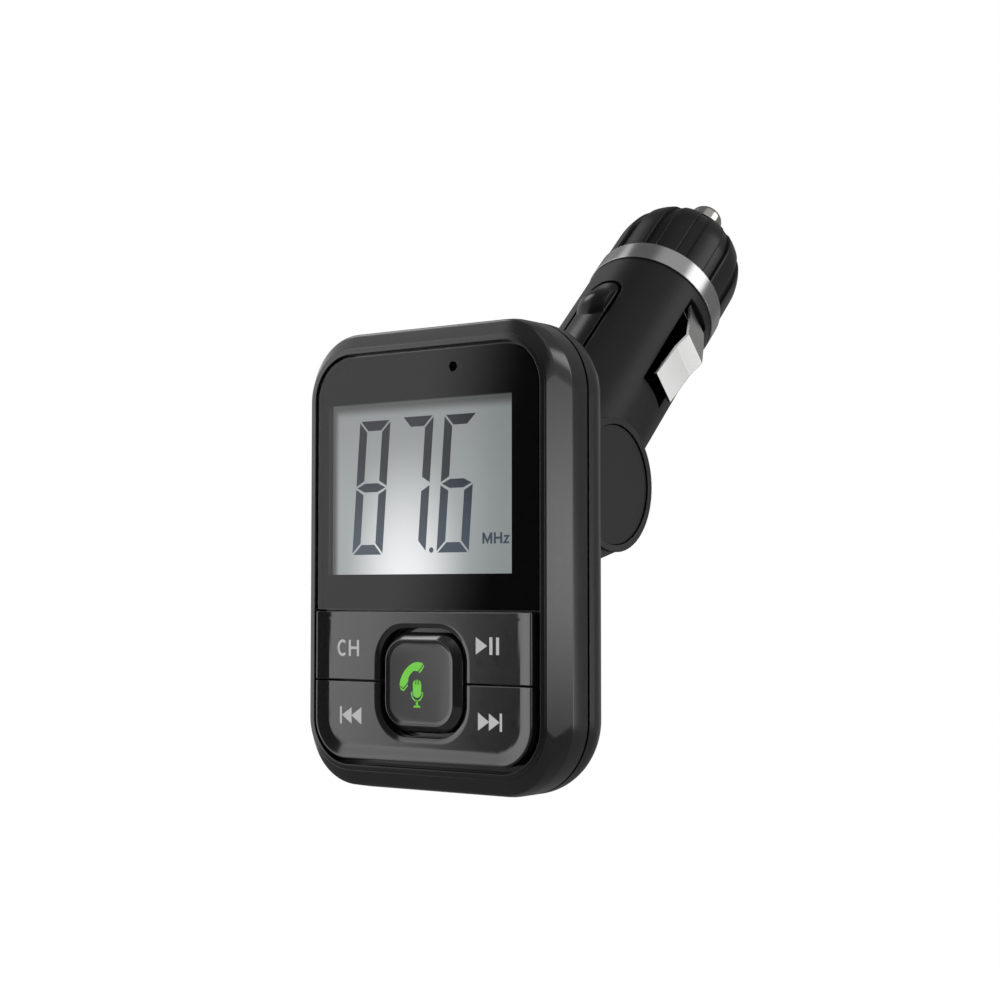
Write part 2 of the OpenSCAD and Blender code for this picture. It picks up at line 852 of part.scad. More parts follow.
module pivot_pins() {
    head_out = ear_gap / 2 + ear_t - hinge_cap_inset - hinge_cap_t - 2 * seat;
    pin_in = knuckle_w / 2 - pivot_in;
    color(metal) on_hinge() for (side = [0, 180]) rotate([side, 0, 0]) {
        translate([0, 0, pin_in]) cylinder(r = pivot_r, h = head_out - pin_in);
        translate([0, 0, head_out - pivot_head_l]) cylinder(r = pivot_head_r, h = pivot_head_l);
    }
}

module friction_washers() {
    mid = (ear_gap / 2 + knuckle_w / 2) / 2;
    color([0.55, 0.53, 0.5]) on_hinge() for (side = [-1, 1]) translate([0, 0, side * mid])
        difference() {
            cylinder(r = washer_r, h = washer_t, center = true);
            cylinder(r = pivot_r + loose, h = washer_t + overrun, center = true);
        }
}

// Rocker keys and call key
upper_pin_z = (split_z - split_gap / 2 + key_seam_z + well_size / 2 + flange_over) / 2;
lower_pin_z = (key_seam_z - well_size / 2 - flange_over - tray_h / 2 + key_gap) / 2;

module keys_2d(inset) {
    rounded(tray_w - 2 * key_gap - 2 * inset, tray_h - 2 * key_gap - 2 * inset,
        tray_corner - key_gap - inset);
}

module well_2d(grow) {
    translate([0, key_seam_z])
        rounded(well_size + 2 * grow, well_size + 2 * grow, well_corner + grow);
}

module rocker(z0, z1, pin_z, plunger_z) {
    color(key_black) in_head() {
        difference() {
            slab(key_crest, key_back) intersection() {
                keys_2d(0);
                above(z0);
                below(z1);
            }
            hull() {
                slab(key_crest - sheet, key_crest) keys_2d(crest_w);
                slab(key_face - sheet, key_face) keys_2d(dish_border);
            }
            slab(key_crest - overrun, key_back + overrun) well_2d(0);
            hull() {
                slab(key_face - sheet, key_face) well_2d(lip_w);
                slab(key_face + 2 * lip_depth, key_face + 2 * lip_depth + sheet) well_2d(-lip_w);
            }
        }
        for (x = [-1, 1]) post(x * plunger_x, plunger_z, plunger_r, key_back - seat, rocker_tip);
        translate([0, rocker_pin_y, pin_z]) cylinder(r = rocker_pin_r, h = rocker_pin_l, center = true);
        translate([-rocker_web / 2, key_back - seat, pin_z - rocker_pin_l / 2])
            cube([rocker_web, rocker_pin_y - key_back + seat, rocker_pin_l]);
    }
}

module upper_rocker_key() {
    rocker(key_seam_z + key_seam / 2, split_z - split_gap / 2, upper_pin_z, plunger_z_up);
}

module lower_rocker_key() {
    rocker(key_seam_z - head_h, key_seam_z - key_seam / 2, lower_pin_z, plunger_z_low);
}

module call_2d(inset) {
    translate([0, key_seam_z])
        rounded(call_size - 2 * inset, call_size - 2 * inset, call_corner - inset);
}

module call_key() {
    flange_front = key_back + flange_gap;
    color(key_black) in_head() {
        difference() {
            hull() {
                slab(call_crest, call_crest + sheet) call_2d(call_bevel);
                slab(call_foot, call_foot + sheet) call_2d(0);
                slab(flange_front, flange_front + sheet) call_2d(0);
            }
            hull() {
                slab(call_crest - sheet, call_crest) call_2d(call_bevel + crest_w);
                slab(call_crest + call_dish, call_crest + call_dish + sheet)
                    call_2d(call_bevel + crest_w + lip_w);
            }
        }
        slab(flange_front, flange_front + flange_t) call_2d(-flange_over);
        post(0, key_seam_z, call_plunger_r, flange_front + flange_t - seat, call_tip);
    }
}

// Plug shells
module knuckle_bar(r, w) {
    rotate([0, 90, 0]) cylinder(r = r, h = w, center = true);
}

// A box in the plug's frame, from its middle in x and y and its start along the plug
module along(w, h, from, to) {
    translate([-w / 2, -h / 2, from]) cube([w, h, to - from]);
}

module plug_solid() {
    intersection() {
        translate([0, 0, barrel_start]) cylinder(r = barrel_r, h = ring_start - barrel_start);
        union() {
            along(knuckle_w, 2 * barrel_r + overrun, 0, flat_end + sheet);
            along(2 * barrel_r + overrun, 2 * barrel_r + overrun, flat_end, ring_start + overrun);
        }
    }
    knuckle_bar(knuckle_r, knuckle_w);
    translate([0, 0, ring_start - overrun]) cylinder(r = neck_r, h = ring_l + overrun);
    translate([0, 0, ring_start - overrun]) cylinder(r = nose_r, h = ring_l + nose_l + overrun);
}

// Wedge through which the lead swings when the head tilts
module lead_slot() {
    steps = 12;
    reach = slot_r / cos((slot_to - slot_from) / steps / 2);
    turn = [for (i = [0 : steps]) slot_from - plug_rise + i * (slot_to - slot_from) / steps];
    rotate([0, -90, 0]) linear_extrude(slot_w, center = true)
        polygon(concat([[0, 0]], [for (a = turn) reach * [cos(a), -sin(a)]]));
}

module contact_window(side) {
    w = contact_w + 2 * window_play;
    translate([side > 0 ? bore_r - overrun : -barrel_r - overrun, -w / 2, window_from])
        cube([barrel_wall + 2 * overrun, w, window_to - window_from]);
}

// Outline of a tongue or of its slot, seen from above: distance along the plug is y
module tongue_2d(w, from, to, round_r) {
    translate([-w / 2, from]) square([w, to - from - round_r]);
    translate([round_r - w / 2, from]) square([w - 2 * round_r, to - from]);
    for (x = [-1, 1]) translate([x * (w / 2 - round_r), to - round_r]) circle(round_r);
}

module tongue_cut(side) {
    w = tongue_w + 2 * tongue_slot;
    start = tongue_root - tongue_root_r - running;
    rotate(side > 0 ? 180 : 0) translate([0, overrun - bore_r, 0]) rotate([90, 0, 0])
        linear_extrude(barrel_wall + 2 * overrun)
        tongue_2d(w, start, tongue_tip + tongue_slot, tongue_tip_round + tongue_slot);
}

module plug_whole() {
    difference() {
        plug_solid();
        translate([0, 0, bore_start]) cylinder(r = bore_r, h = bore_end - bore_start);
        translate([0, 0, bore_end - overrun])
            cylinder(r = nose_bore_r, h = nose_end - bore_end + 2 * overrun);
        knuckle_bar(knuckle_bore_r, knuckle_w - 2 * knuckle_wall);
        knuckle_bar(pivot_r + running, knuckle_w + overrun);
        along(passage_w, passage_h, 0, bore_start + overrun);
        lead_slot();
        for (side = [-1, 1]) {
            contact_window(side);
            tongue_cut(side);
        }
    }
}

// The two shells part at the plane y = 0 of the plug's frame; its upper side is towards -y
module plug_shell_upper() {
    color(black_plastic) in_plug() difference() {
        plug_whole();
        translate([-head_w / 2, 0, -head_h / 2]) cube([head_w, head_w, 2 * head_h]);
        for (x = [-1, 1]) translate([x * plug_screw_x, 0, plug_screw_s]) rotate([90, 0, 0])
            translate([0, 0, -seat]) cylinder(r = plug_screw_r + seat, h = plug_screw_bite + loose);
    }
}

module plug_shell_lower() {
    color(black_plastic) in_plug() difference() {
        plug_whole();
        translate([-head_w / 2, -head_w, -head_h / 2]) cube([head_w, head_w, 2 * head_h]);
        for (x = [-1, 1]) translate([x * plug_screw_x, 0, plug_screw_s]) rotate([-90, 0, 0]) {
            translate([0, 0, -seat]) cylinder(r = plug_screw_r + loose, h = barrel_r);
            translate([0, 0, plug_screw_seat]) cylinder(r = plug_screw_head_r + loose, h = barrel_r);
        }
    }
}

module plug_screws() {
    color(metal) in_plug() for (x = [-1, 1]) translate([x * plug_screw_x, 0, plug_screw_s])
        rotate([-90, 0, 0]) {
            translate([0, 0, -plug_screw_bite])
                cylinder(r = plug_screw_r, h = plug_screw_bite + plug_screw_seat + sheet + seat);
            difference() {
                translate([0, 0, plug_screw_seat + seat])
                    cylinder(r = plug_screw_head_r, h = plug_screw_head_l);
                translate([0, 0, plug_screw_seat + plug_screw_head_l]) for (a = [0, 90]) rotate(a)
                    cube([2 * plug_screw_r, plug_screw_r / 2, plug_screw_head_l], center = true);
            }
        }
}

module retaining_ring() {
    color(metal) in_plug() translate([0, 0, ring_start]) difference() {
        cylinder(r = ring_r, h = ring_l);
        translate([0, 0, -overrun]) cylinder(r = neck_r + seat, h = ring_l + 2 * overrun);
    }
}

// Closed outline of a bent strip: its outer points, then the same points drawn in by its thickness
function unit(v) = v / norm(v);
function bend(p, i) = let (
    a = i > 0 ? unit(p[i] - p[i - 1]) : unit(p[i + 1] - p[i]),
    b = i < len(p) - 1 ? unit(p[i + 1] - p[i]) : a,
    m = unit(a + b)) [m[1], -m[0]] / (m * a);
function strip(p, t) = concat(p, [for (i = [len(p) - 1 : -1 : 0]) p[i] + t * bend(p, i)]);

module ground_contact(side) {
    color(metal) in_plug() rotate(side > 0 ? 0 : 180) rotate([90, 0, 0]) {
        linear_extrude(contact_w, center = true)
            polygon([for (q = strip(contact_path, contact_t)) [q[1], q[0]]]);
        translate([contact_curl[1], contact_curl[0]])
            cylinder(r = contact_curl_r, h = contact_w, center = true);
    }
}

module ground_contact_right() {
    ground_contact(1);
}

module ground_contact_left() {
    ground_contact(-1);
}

module grip_tongue(side) {
    peak = barrel_r + bump_h;
    ball_r = (bump_l * bump_l / 4 + bump_h * bump_h) / (2 * bump_h);
    color(black_plastic) in_plug() rotate(side > 0 ? 0 : 180) {
        intersection() {
            difference() {
                cylinder(r = barrel_r, h = tongue_tip);
                translate([0, 0, -overrun]) cylinder(r = bore_r, h = tongue_tip + 2 * overrun);
            }
            rotate([90, 0, 0]) linear_extrude(barrel_r + overrun)
                tongue_2d(tongue_w, tongue_root, tongue_tip, tongue_tip_round);
        }
        translate([0, -tongue_root_u, tongue_root]) knuckle_bar(tongue_root_r, tongue_w);
        intersection() {
            translate([0, -peak + ball_r, bump_at]) sphere(ball_r);
            translate([-tongue_w / 2 + bump_side, -peak - overrun, tongue_root])
                cube([tongue_w - 2 * bump_side, peak + overrun - bore_r, tongue_tip - tongue_root]);
        }
    }
}

module grip_tongue_upper() {
    grip_tongue(1);
}

module grip_tongue_lower() {
    grip_tongue(-1);
}

// Converter board inside the barrel
module converter_board() {
    wide = 2 * bore_r - 2 * plug_board_gap;
    color(board_green) in_plug() {
        along(wide, plug_board_t, plug_board_start, plug_board_step);
        along(plug_board_slim, plug_board_t, plug_board_step - sheet, plug_board_end);
    }
}

module power_inductor() {
    color(copper) in_plug() translate([0, -plug_board_t / 2 - part_gap, inductor_s])
        rotate([90, 0, 0]) cylinder(r = inductor_r, h = inductor_l);
}

module converter_chip() {
    color(chip_black) in_plug() translate([-ic_w / 2, -plug_board_t / 2 - part_gap - ic_t, ic_s])
        cube([ic_w, ic_t, ic_l]);
}

module filter_capacitor() {
    color([0.12, 0.12, 0.2]) in_plug() translate([0, plug_board_t / 2 + part_gap, filter_s])
        rotate([-90, 0, 0]) cylinder(r = filter_r, h = filter_l);
}

module plug_lead() {
    color([0.07, 0.07, 0.07]) in_plug() translate([0, 0, lead_free])
        cylinder(r = lead_r, h = plug_board_start - seat - lead_free);
}

// Fuse, its holder, spring and pin
module fuse_holder() {
    color([0.8, 0.8, 0.78]) in_plug() difference() {
        union() {
            translate([0, 0, holder_back]) cylinder(r = holder_r, h = holder_front - holder_back);
            for (s = [ring_start, nose_end - holder_flange_l]) translate([0, 0, s])
                cylinder(r = nose_bore_r - running, h = holder_flange_l);
        }
        translate([0, 0, holder_back - overrun])
            cylinder(r = holder_bore_r, h = holder_front - holder_back + 2 * overrun);
    }
}

module fuse_terminal() {
    color(metal) in_plug() translate([0, 0, terminal_back]) cylinder(r = terminal_r, h = terminal_l);
}

module fuse() {
    color([0.8, 0.85, 0.86]) in_plug() {
        translate([0, 0, fuse_back]) cylinder(r = fuse_r, h = fuse_cap_l);
        translate([0, 0, fuse_back]) cylinder(r = fuse_r - loose, h = fuse_l);
        translate([0, 0, fuse_front - fuse_cap_l]) cylinder(r = fuse_r, h = fuse_cap_l);
    }
}

// Centre line of the spring: straight for one wire width at each end, wound between
spring_len = fuse_back - terminal_front - 2 * seat;
spring_pitch = (spring_len - 4 * spring_wire_r) / spring_turns;
spring_count = spring_turns * spring_rings;
spring_path = concat([[spring_r, 0, 0]],
    [for (i = [0 : spring_count]) [spring_r * cos(i * 360 / spring_rings),
        spring_r * sin(i * 360 / spring_rings), 2 * spring_wire_r + i * spring_pitch / spring_rings]],
    [[spring_r, 0, spring_len]]);
echo(spring_gap_to_itself = spring_pitch - 2 * spring_wire_r);

module contact_spring() {
    rings = len(spring_path);
    points = [for (i = [0 : rings - 1]) let (p = spring_path[i], ends = i < 1 || i > rings - 2,
            out = [p[0], p[1], 0] / spring_r)
        for (k = [0 : spring_sides - 1]) let (a = k * 360 / spring_sides)
            p + spring_wire_r * (cos(a) * out + sin(a)
                * (ends ? cross(out, [0, 0, 1]) : [0, 0, 1]))];
    faces = concat(
        [for (i = [0 : rings - 2], k = [0 : spring_sides - 1]) let (n = (k + 1) % spring_sides,
                a = i * spring_sides, b = a + spring_sides)
            each [[a + k, b + k, a + n], [a + n, b + k, b + n]]],
        [for (k = [1 : spring_sides - 2]) [0, k, k + 1]],
        [for (k = [1 : spring_sides - 2]) let (a = (rings - 1) * spring_sides) [a, a + k + 1, a + k]]);
    color(metal) in_plug() translate([0, 0, terminal_front + seat])
        polyhedron(points = points, faces = faces);
}

module contact_pin() {
    arc = [for (a = [0 : 10 : 90]) [pin_r * cos(a), pin_end - pin_tip_l + pin_tip_l * sin(a)]];
    color(metal) in_plug() {
        translate([0, 0, pin_flange_back]) cylinder(r = pin_flange_r, h = pin_flange_l);
        rotate_extrude() polygon(concat([[0, pin_flange_back], [pin_r, pin_flange_back]], arc));
    }
}

module insulating_bush() {
    color([0.9, 0.9, 0.88]) in_plug() translate([0, 0, bush_back]) difference() {
        cylinder(r = cap_pocket_r - running, h = bush_t);
        translate([0, 0, -overrun]) cylinder(r = pin_r + running, h = bush_t + 2 * overrun);
    }
}

// Rounded outline of the nose cap, drawn in by the depth of a groove
function cap_outline(inset) = concat(
    [[0, cap_start], [cap_r - inset, cap_start]],
    [for (a = [0 : 10 : 90]) [cap_face_r - inset + (cap_r - cap_face_r) * cos(a),
        cap_end - cap_round_l + (cap_round_l - inset) * sin(a)]],
    [[0, cap_end - inset]]);

module nose_cap() {
    step = 360 / cap_panels;
    cut = step * flute_share / 2;
    far = 2 * cap_r;
    color(black_plastic) in_plug() difference() {
        union() {
            rotate_extrude() polygon(cap_outline(flute_depth));
            difference() {
                rotate_extrude() polygon(cap_outline(0));
                for (i = [0 : cap_panels - 1]) rotate(i * step) translate([0, 0, cap_start - overrun])
                    linear_extrude(cap_end - cap_start - cap_wall + overrun)
                    polygon([[0, 0], far * [cos(cut), -sin(cut)], far * [cos(cut), sin(cut)]]);
            }
        }
        translate([0, 0, cap_start - overrun])
            cylinder(r = nose_r + running, h = cap_bore_l + overrun);
        translate([0, 0, cap_start]) cylinder(r = cap_pocket_r, h = cap_end - cap_wall - cap_start);
        translate([0, 0, cap_start]) cylinder(r = pin_r + loose, h = cap_l + overrun);
    }
}

front_bezel();
rear_shell();
case_screws();
display_window();
window_mask();
lcd_panel();
lcd_frame();
backlight_guide();
backlight_led();
reflector_sheet();
zebra_connector();
main_board();
tact_switches();
microphone();
mic_boot();
bluetooth_module();
transmitter_chip();
crystal();
storage_capacitor();
antenna_wire();
lead_socket();
head_lead();
lead_grommet();
hinge_cap_left();
hinge_cap_right();
pivot_pins();
friction_washers();
upper_rocker_key();
lower_rocker_key();
call_key();
plug_shell_upper();
plug_shell_lower();
plug_screws();
retaining_ring();
ground_contact_right();
ground_contact_left();
grip_tongue_upper();
grip_tongue_lower();
converter_board();
power_inductor();
converter_chip();
filter_capacitor();
plug_lead();
fuse_holder();
fuse_terminal();
fuse();
contact_spring();
contact_pin();
insulating_bush();
nose_cap();
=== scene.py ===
import bpy
import bmesh
import math
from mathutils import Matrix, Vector
from mathutils.geometry import tessellate_polygon


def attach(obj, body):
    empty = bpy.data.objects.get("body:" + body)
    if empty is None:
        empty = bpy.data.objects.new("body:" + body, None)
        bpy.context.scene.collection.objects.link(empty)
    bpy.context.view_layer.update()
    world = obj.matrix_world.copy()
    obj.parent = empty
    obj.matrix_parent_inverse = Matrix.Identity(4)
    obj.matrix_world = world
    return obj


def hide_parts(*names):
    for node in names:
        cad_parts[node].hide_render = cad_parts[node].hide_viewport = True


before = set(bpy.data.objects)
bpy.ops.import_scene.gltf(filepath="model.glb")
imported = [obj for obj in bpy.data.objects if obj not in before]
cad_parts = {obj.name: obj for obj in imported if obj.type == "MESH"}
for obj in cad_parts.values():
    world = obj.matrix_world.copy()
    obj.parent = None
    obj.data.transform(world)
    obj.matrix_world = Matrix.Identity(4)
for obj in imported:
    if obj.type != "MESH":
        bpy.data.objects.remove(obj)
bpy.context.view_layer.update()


# Front bezel. A black moulding that holds the window and the keys: a raised rim round the tray,
# a narrow groove outside it and a wide chamfer that runs back to the straight sides.
PLUG_RISE = math.radians(44.1)
HINGE_TO_RING = 43.55
HINGE_BACK, HINGE_UP = 26.65, 10.39


def head(x, y, z):
    """A point of the part, from millimetres right, back and up from the middle of the rim."""
    return Vector((x, y - HINGE_BACK - HINGE_TO_RING * math.cos(PLUG_RISE),
                   z - HINGE_UP - HINGE_TO_RING * math.sin(PLUG_RISE))) / 1000


def shade(code):
    """Colour of a hex code, for a shader's socket."""
    parts = [int(code[i:i + 2], 16) / 255 for i in (1, 3, 5)]
    return tuple(c / 12.92 if c < 0.04045 else ((c + 0.055) / 1.055) ** 2.4 for c in parts) + (1,)


class Signal:
    """An output of a finish's node tree. Python's operators on it add Math nodes."""

    def __init__(self, finish, socket):
        self.finish, self.socket = finish, socket

    def maths(self, operation, *values):
        return self.finish.node("ShaderNodeMath", {"operation": operation}, dict(enumerate(values)))

    def __add__(self, other):
        return self.maths("ADD", self, other)

    def __radd__(self, other):
        return self.maths("ADD", other, self)

    def __sub__(self, other):
        return self.maths("SUBTRACT", self, other)

    def __rsub__(self, other):
        return self.maths("SUBTRACT", other, self)

    def __mul__(self, other):
        return self.maths("MULTIPLY", self, other)

    def __rmul__(self, other):
        return self.maths("MULTIPLY", other, self)

    def __truediv__(self, other):
        return self.maths("DIVIDE", self, other)

    def __pow__(self, other):
        return self.maths("POWER", self, other)

    def __abs__(self):
        return self.maths("ABSOLUTE", self)


class Finish:
    """A node tree that is filled through node(): a type, its settings, then its inputs."""

    def __init__(self, name, owner=None):
        self.owner = owner or bpy.data.materials.new(name)
        self.owner.use_nodes = True
        self.tree = self.owner.node_tree
        self.tree.nodes.clear()

    def node(self, kind, settings=None, inputs=None, out=0):
        made = self.tree.nodes.new(kind)
        for key, value in (settings or {}).items():
            setattr(made, key, value)
        for key, value in (inputs or {}).items():
            if isinstance(value, Signal):
                self.tree.links.new(value.socket, made.inputs[key])
            else:
                made.inputs[key].default_value = value
        return Signal(self, made.outputs[out])

    def place(self):
        return self.node("ShaderNodeTexCoord", out="Object")

    def noise(self, scale, detail=2, at=None):
        return self.node("ShaderNodeTexNoise", {}, {"Vector": at or self.place(), "Scale": scale,
                                                    "Detail": detail})

    def step(self, value, low, high):
        """0 where the value is at low, 1 where it is at high, eased between."""
        return self.node("ShaderNodeMapRange", {"interpolation_type": "SMOOTHSTEP"},
                         {"Value": value, "From Min": low, "From Max": high})

    def blend(self, factor, a, b):
        return self.node("ShaderNodeMix", {"data_type": "RGBA"}, {0: factor, 6: a, 7: b}, out=2)

    def surface(self, shader):
        """Ends a material's tree with this shader, and gives the material."""
        self.node_out("ShaderNodeOutputMaterial", shader)
        return self.owner

    def node_out(self, kind, shader):
        made = self.tree.nodes.new(kind)
        self.tree.links.new(shader.socket, made.inputs["Surface"])


def plastic(name, dark, light, roughness, ior=1.5, grain=0.12, edge=0.00012):
    """Moulded plastic: a slow drift of shade, fine sparked texture and softened edges."""
    f = Finish(name)
    drift = f.noise(140, 3)
    spark = f.noise(6500, 2)
    soft_edge = f.node("ShaderNodeBevel", {"samples": 6}, {"Radius": edge})
    normal = f.node("ShaderNodeBump", {}, {"Strength": grain, "Distance": 0.00002,
                                           "Height": spark, "Normal": soft_edge})
    rubbed = f.step(f.noise(900, 4), 0.55, 0.8)
    rough = roughness + (drift - 0.5) * 0.05 + (spark - 0.5) * 0.04 - rubbed * 0.03
    return f.surface(f.node("ShaderNodeBsdfPrincipled", {}, {
        "Base Color": f.blend(drift, shade(dark), shade(light)), "Roughness": rough,
        "Normal": normal, "IOR": ior}))


CASE_BLACK = plastic("case_black", "#0a0a0a", "#0f0f10", 0.19, ior=1.8, edge=0.00004)


def rounded(half_w, half_h, corner, steps=14, x=0.0, z=0.0):
    """Rounded rectangle as the user sees it, from the top of its right side to the left."""
    loop = []
    for quarter, (sx, sz) in enumerate(((1, 1), (-1, 1), (-1, -1), (1, -1))):
        for i in range(steps + 1):
            a = math.radians(90 * (quarter + i / steps))
            loop.append((x + sx * (half_w - corner) + corner * math.cos(a),
                         z + sz * (half_h - corner) + corner * math.sin(a)))
    return loop


def eased(section, radii, steps=4):
    """A closed section whose corners are rounded off over about these distances."""
    out = []
    for i, p in enumerate(section):
        ends = []
        for q in (section[i - 1], section[(i + 1) % len(section)]):
            share = min(0.48, radii[i] / math.hypot(q[0] - p[0], q[-1] - p[-1]))
            ends.append(tuple(u + (v - u) * share for u, v in zip(p, q)))
        for k in range(steps + 1):
            t = k / steps
            out.append(tuple((1 - t) ** 2 * s + 2 * t * (1 - t) * c + t * t * e
                             for s, c, e in zip(ends[0], p, ends[1])))
    return out


def loft(loops, closed=False):
    """Skin over loops of as many points each, joined end to end or capped at both ends."""
    n = len(loops[0])
    faces = []
    for i in range(len(loops) if closed else len(loops) - 1):
        a, b = i * n, (i + 1) % len(loops) * n
        faces += [(a + k, a + (k + 1) % n, b + (k + 1) % n, b + k) for k in range(n)]
    if not closed:
        faces += [tuple(range(n)), tuple(range(len(loops) * n - n, len(loops) * n))]
    return [p for loop in loops for p in loop], faces


def plate(loops, front, back):
    """Flat plate between two depths of the head: its outline, then the outlines of its holes."""
    flat = [p for loop in loops for p in loop]
    n = len(flat)
    skin = tessellate_polygon([[Vector((x, z, 0)) for x, z in loop] for loop in loops])
    faces = [tuple(t) for t in skin] + [tuple(i + n for i in t) for t in skin]
    start = 0
    for loop in loops:
        m = len(loop)
        faces += [(start + k, start + (k + 1) % m, start + (k + 1) % m + n, start + k + n)
                  for k in range(m)]
        start += m
    return [head(x, y, z) for y in (front, back) for x, z in flat], faces


def piece(name, shells, finish, body, sharp=30):
    """One object from closed shells; edges that turn less than the sharp angle are smooth.
    Without a body it is only a pattern for others."""
    bm = bmesh.new()
    for points, faces in shells:
        made = [bm.verts.new(p) for p in points]
        part = [bm.faces.new([made[i] for i in face]) for face in faces]
        bmesh.ops.recalc_face_normals(bm, faces=part)
    for face in bm.faces:
        face.smooth = True
    for e in bm.edges:
        e.smooth = len(e.link_faces) != 2 or e.calc_face_angle(0) < math.radians(sharp)
    mesh = bpy.data.meshes.new(name)
    bm.to_mesh(mesh)
    bm.free()
    mesh.materials.append(finish)
    made = bpy.data.objects.new(name, mesh)
    bpy.context.collection.objects.link(made)
    if body:
        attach(made, body)
    return made


def circle(x, z, r, steps=32):
    return [(x + r * math.cos(2 * math.pi * i / steps), z + r * math.sin(2 * math.pi * i / steps))
            for i in range(steps)]


def box_loop(x0, x1, z0, z1):
    return [(x1, z0), (x1, z1), (x0, z1), (x0, z0)]


RIM_IN = (18.9, 27.75, 6.2)
TRAY_IN = 0.1
SPLIT_Z, SEAM_Z = -7.0628, -16.4713
VIEW_X = (-17.47, 13.77)
VIEW_Z = (-2.213, 21.02)
MIC_HOLE = (4.9, 24.92, 0.65)
PLUNGER_X, PLUNGER_Z, PLUNGER_HOLE_R = 12, (-11.79, -20.72), 1.9
CALL_HOLE_R = 1.65
DECK, FLOOR, DECK_STEP = (1.19, 2.09), (3.2, 4.2), (2.1, 4.19)
# Half width, half height, corner radius and depth at each corner of the bezel's section.
bezel_section = eased(
    [(21.55, 30.95, 9.9, 6.85), (21.55, 30.95, 9.9, 3.5), (20.33, 30.55, 7.9, 1.2),
     (19.8, 28.65, 7.1, 0.2), (19.6, 28.45, 6.9, 0.2), (19.6, 28.45, 6.9, 0.09),
     RIM_IN + (0.0,), RIM_IN + (4.2,), (20.05, 29.45, 8.4, 4.2), (20.05, 29.45, 8.4, 6.85)],
    (0.04, 0.12, 0.25, 0.04, 0.03, 0.07, 0.07, 0.1, 0.1, 0.05))
bezel_ring = loft([[head(x, y, z) for x, z in rounded(w, h, r, 16)] for w, h, r, y in bezel_section],
                  closed=True)
tray = rounded(*[size + TRAY_IN for size in RIM_IN])
tray_x = RIM_IN[0] + TRAY_IN
deck = [p for p in tray if p[1] > 0] + [(-tray_x, SPLIT_Z), (tray_x, SPLIT_Z)]
floor = [p for p in tray if p[1] < 0] + [(tray_x, SPLIT_Z + 0.02), (-tray_x, SPLIT_Z + 0.02)]
plunger_holes = [circle(x, z, PLUNGER_HOLE_R) for z in PLUNGER_Z for x in (-PLUNGER_X, PLUNGER_X)]
bezel = piece(
    "front_bezel_shell",
    [bezel_ring,
     plate([deck, box_loop(*VIEW_X, *VIEW_Z)[::-1], circle(*MIC_HOLE)], *DECK),
     plate([floor] + plunger_holes + [circle(0, SEAM_Z, CALL_HOLE_R)], *FLOOR),
     plate([box_loop(-tray_x, tray_x, SPLIT_Z + 0.01, SPLIT_Z + 1.2)], *DECK_STEP)],
    CASE_BLACK, "head")
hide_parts("front_bezel")


# Rear shell, closed on the bezel by four screws in deep holes. Its two ears carry the hinge, and
# each ear's disc has a round recess for a glued-in cap.
def dress(finish, *nodes):
    """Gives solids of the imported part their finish."""
    for name in nodes:
        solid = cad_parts[name]
        if not solid.material_slots:
            solid.data.materials.append(finish)
        for used in solid.material_slots:
            used.material = finish


dress(plastic("rear_black", "#0a0a0a", "#0f0f10", 0.24, ior=1.75, edge=0.00012), "rear_shell")


def metal(name, dark, light, roughness, edge=0.0001, lines=0.0, along=(1, 1, 1)):
    """Plated or rolled metal: small drift of shade, fine rolling lines, softened edges."""
    f = Finish(name)
    drift = f.noise(260, 3)
    stretched = f.node("ShaderNodeMapping", {}, {"Vector": f.place(), "Scale": along})
    rolled = f.noise(2500, 3, stretched)
    soft_edge = f.node("ShaderNodeBevel", {"samples": 6}, {"Radius": edge})
    normal = f.node("ShaderNodeBump", {}, {"Strength": lines, "Distance": 0.00001,
                                           "Height": rolled, "Normal": soft_edge})
    rough = roughness + (drift - 0.5) * 0.08 + (rolled - 0.5) * 0.08
    return f.surface(f.node("ShaderNodeBsdfPrincipled", {}, {
        "Base Color": f.blend(drift, shade(dark), shade(light)), "Roughness": rough,
        "Metallic": 1.0, "Normal": normal}))


SCREW_NICKEL = metal("screw_nickel", "#b9b6ae", "#cfccc5", 0.26)
dress(SCREW_NICKEL, "case_screws")


# Display. A reflective liquid crystal panel on a clear light guide with one lamp at its lower
# edge, in a white frame that clips over the main board; rubber strip contacts join it to the board.
def coordinate(finish, axis):
    """One axis of the part's own coordinates."""
    return finish.node("ShaderNodeSeparateXYZ", {}, {0: finish.place()}, out=axis)


def display_glass():
    """Grey-green polariser whose emission colour paints the lamp's light and the window edge's
    shadow.
    """
    f = Finish("display_glass")
    x, z = coordinate(f, 0), coordinate(f, 2)
    lamp = head(-4.6, 0, -3.6)
    across = abs(x - lamp.x) / 0.0096
    up = (z - lamp.z) / 0.0165
    # Painted pool of light from the lamp below the middle of the display.
    glow = f.step(1.0 - (across ** 2.4 + up ** 2.0) ** 0.5 / 1.25, 0.0, 1.0)
    # Painted shadow of the window's edge along the left and top of the display, in #4d4f4e.
    left = f.step(x - head(VIEW_X[0], 0, 0).x, 0.0002, 0.0013)
    top = f.step(head(0, 0, VIEW_Z[1]).z - z, 0.0003, 0.0019)
    # Painted light of the lamp: the colour is paler low down, near the lamp.
    painted_lamp_rise = f.step(z, head(0, 0, 21).z, head(0, 0, 4).z)
    base = f.blend(painted_lamp_rise, shade("#929696"), shade("#a6abaa"))
    # Darker towards the right.
    right = f.step(x, head(4, 0, 0).x, head(12, 0, 0).x)
    base = f.blend(right * 0.55, base, shade("#7c8382"))
    lit = f.blend(glow, base, shade("#ffffff"))
    painted_edge_shadow = f.blend(left * top, shade("#4d4f4e"), lit)
    mottle = f.noise(700, 3)
    lit_up = f.blend(mottle * 0.06, painted_edge_shadow, shade("#b9bfbb"))
    return f.surface(f.node("ShaderNodeBsdfPrincipled", {}, {
        "Base Color": (0.02, 0.02, 0.02, 1), "Roughness": 0.5, "Specular IOR Level": 0.0,
        "Emission Color": lit_up, "Emission Strength": 1.0}))


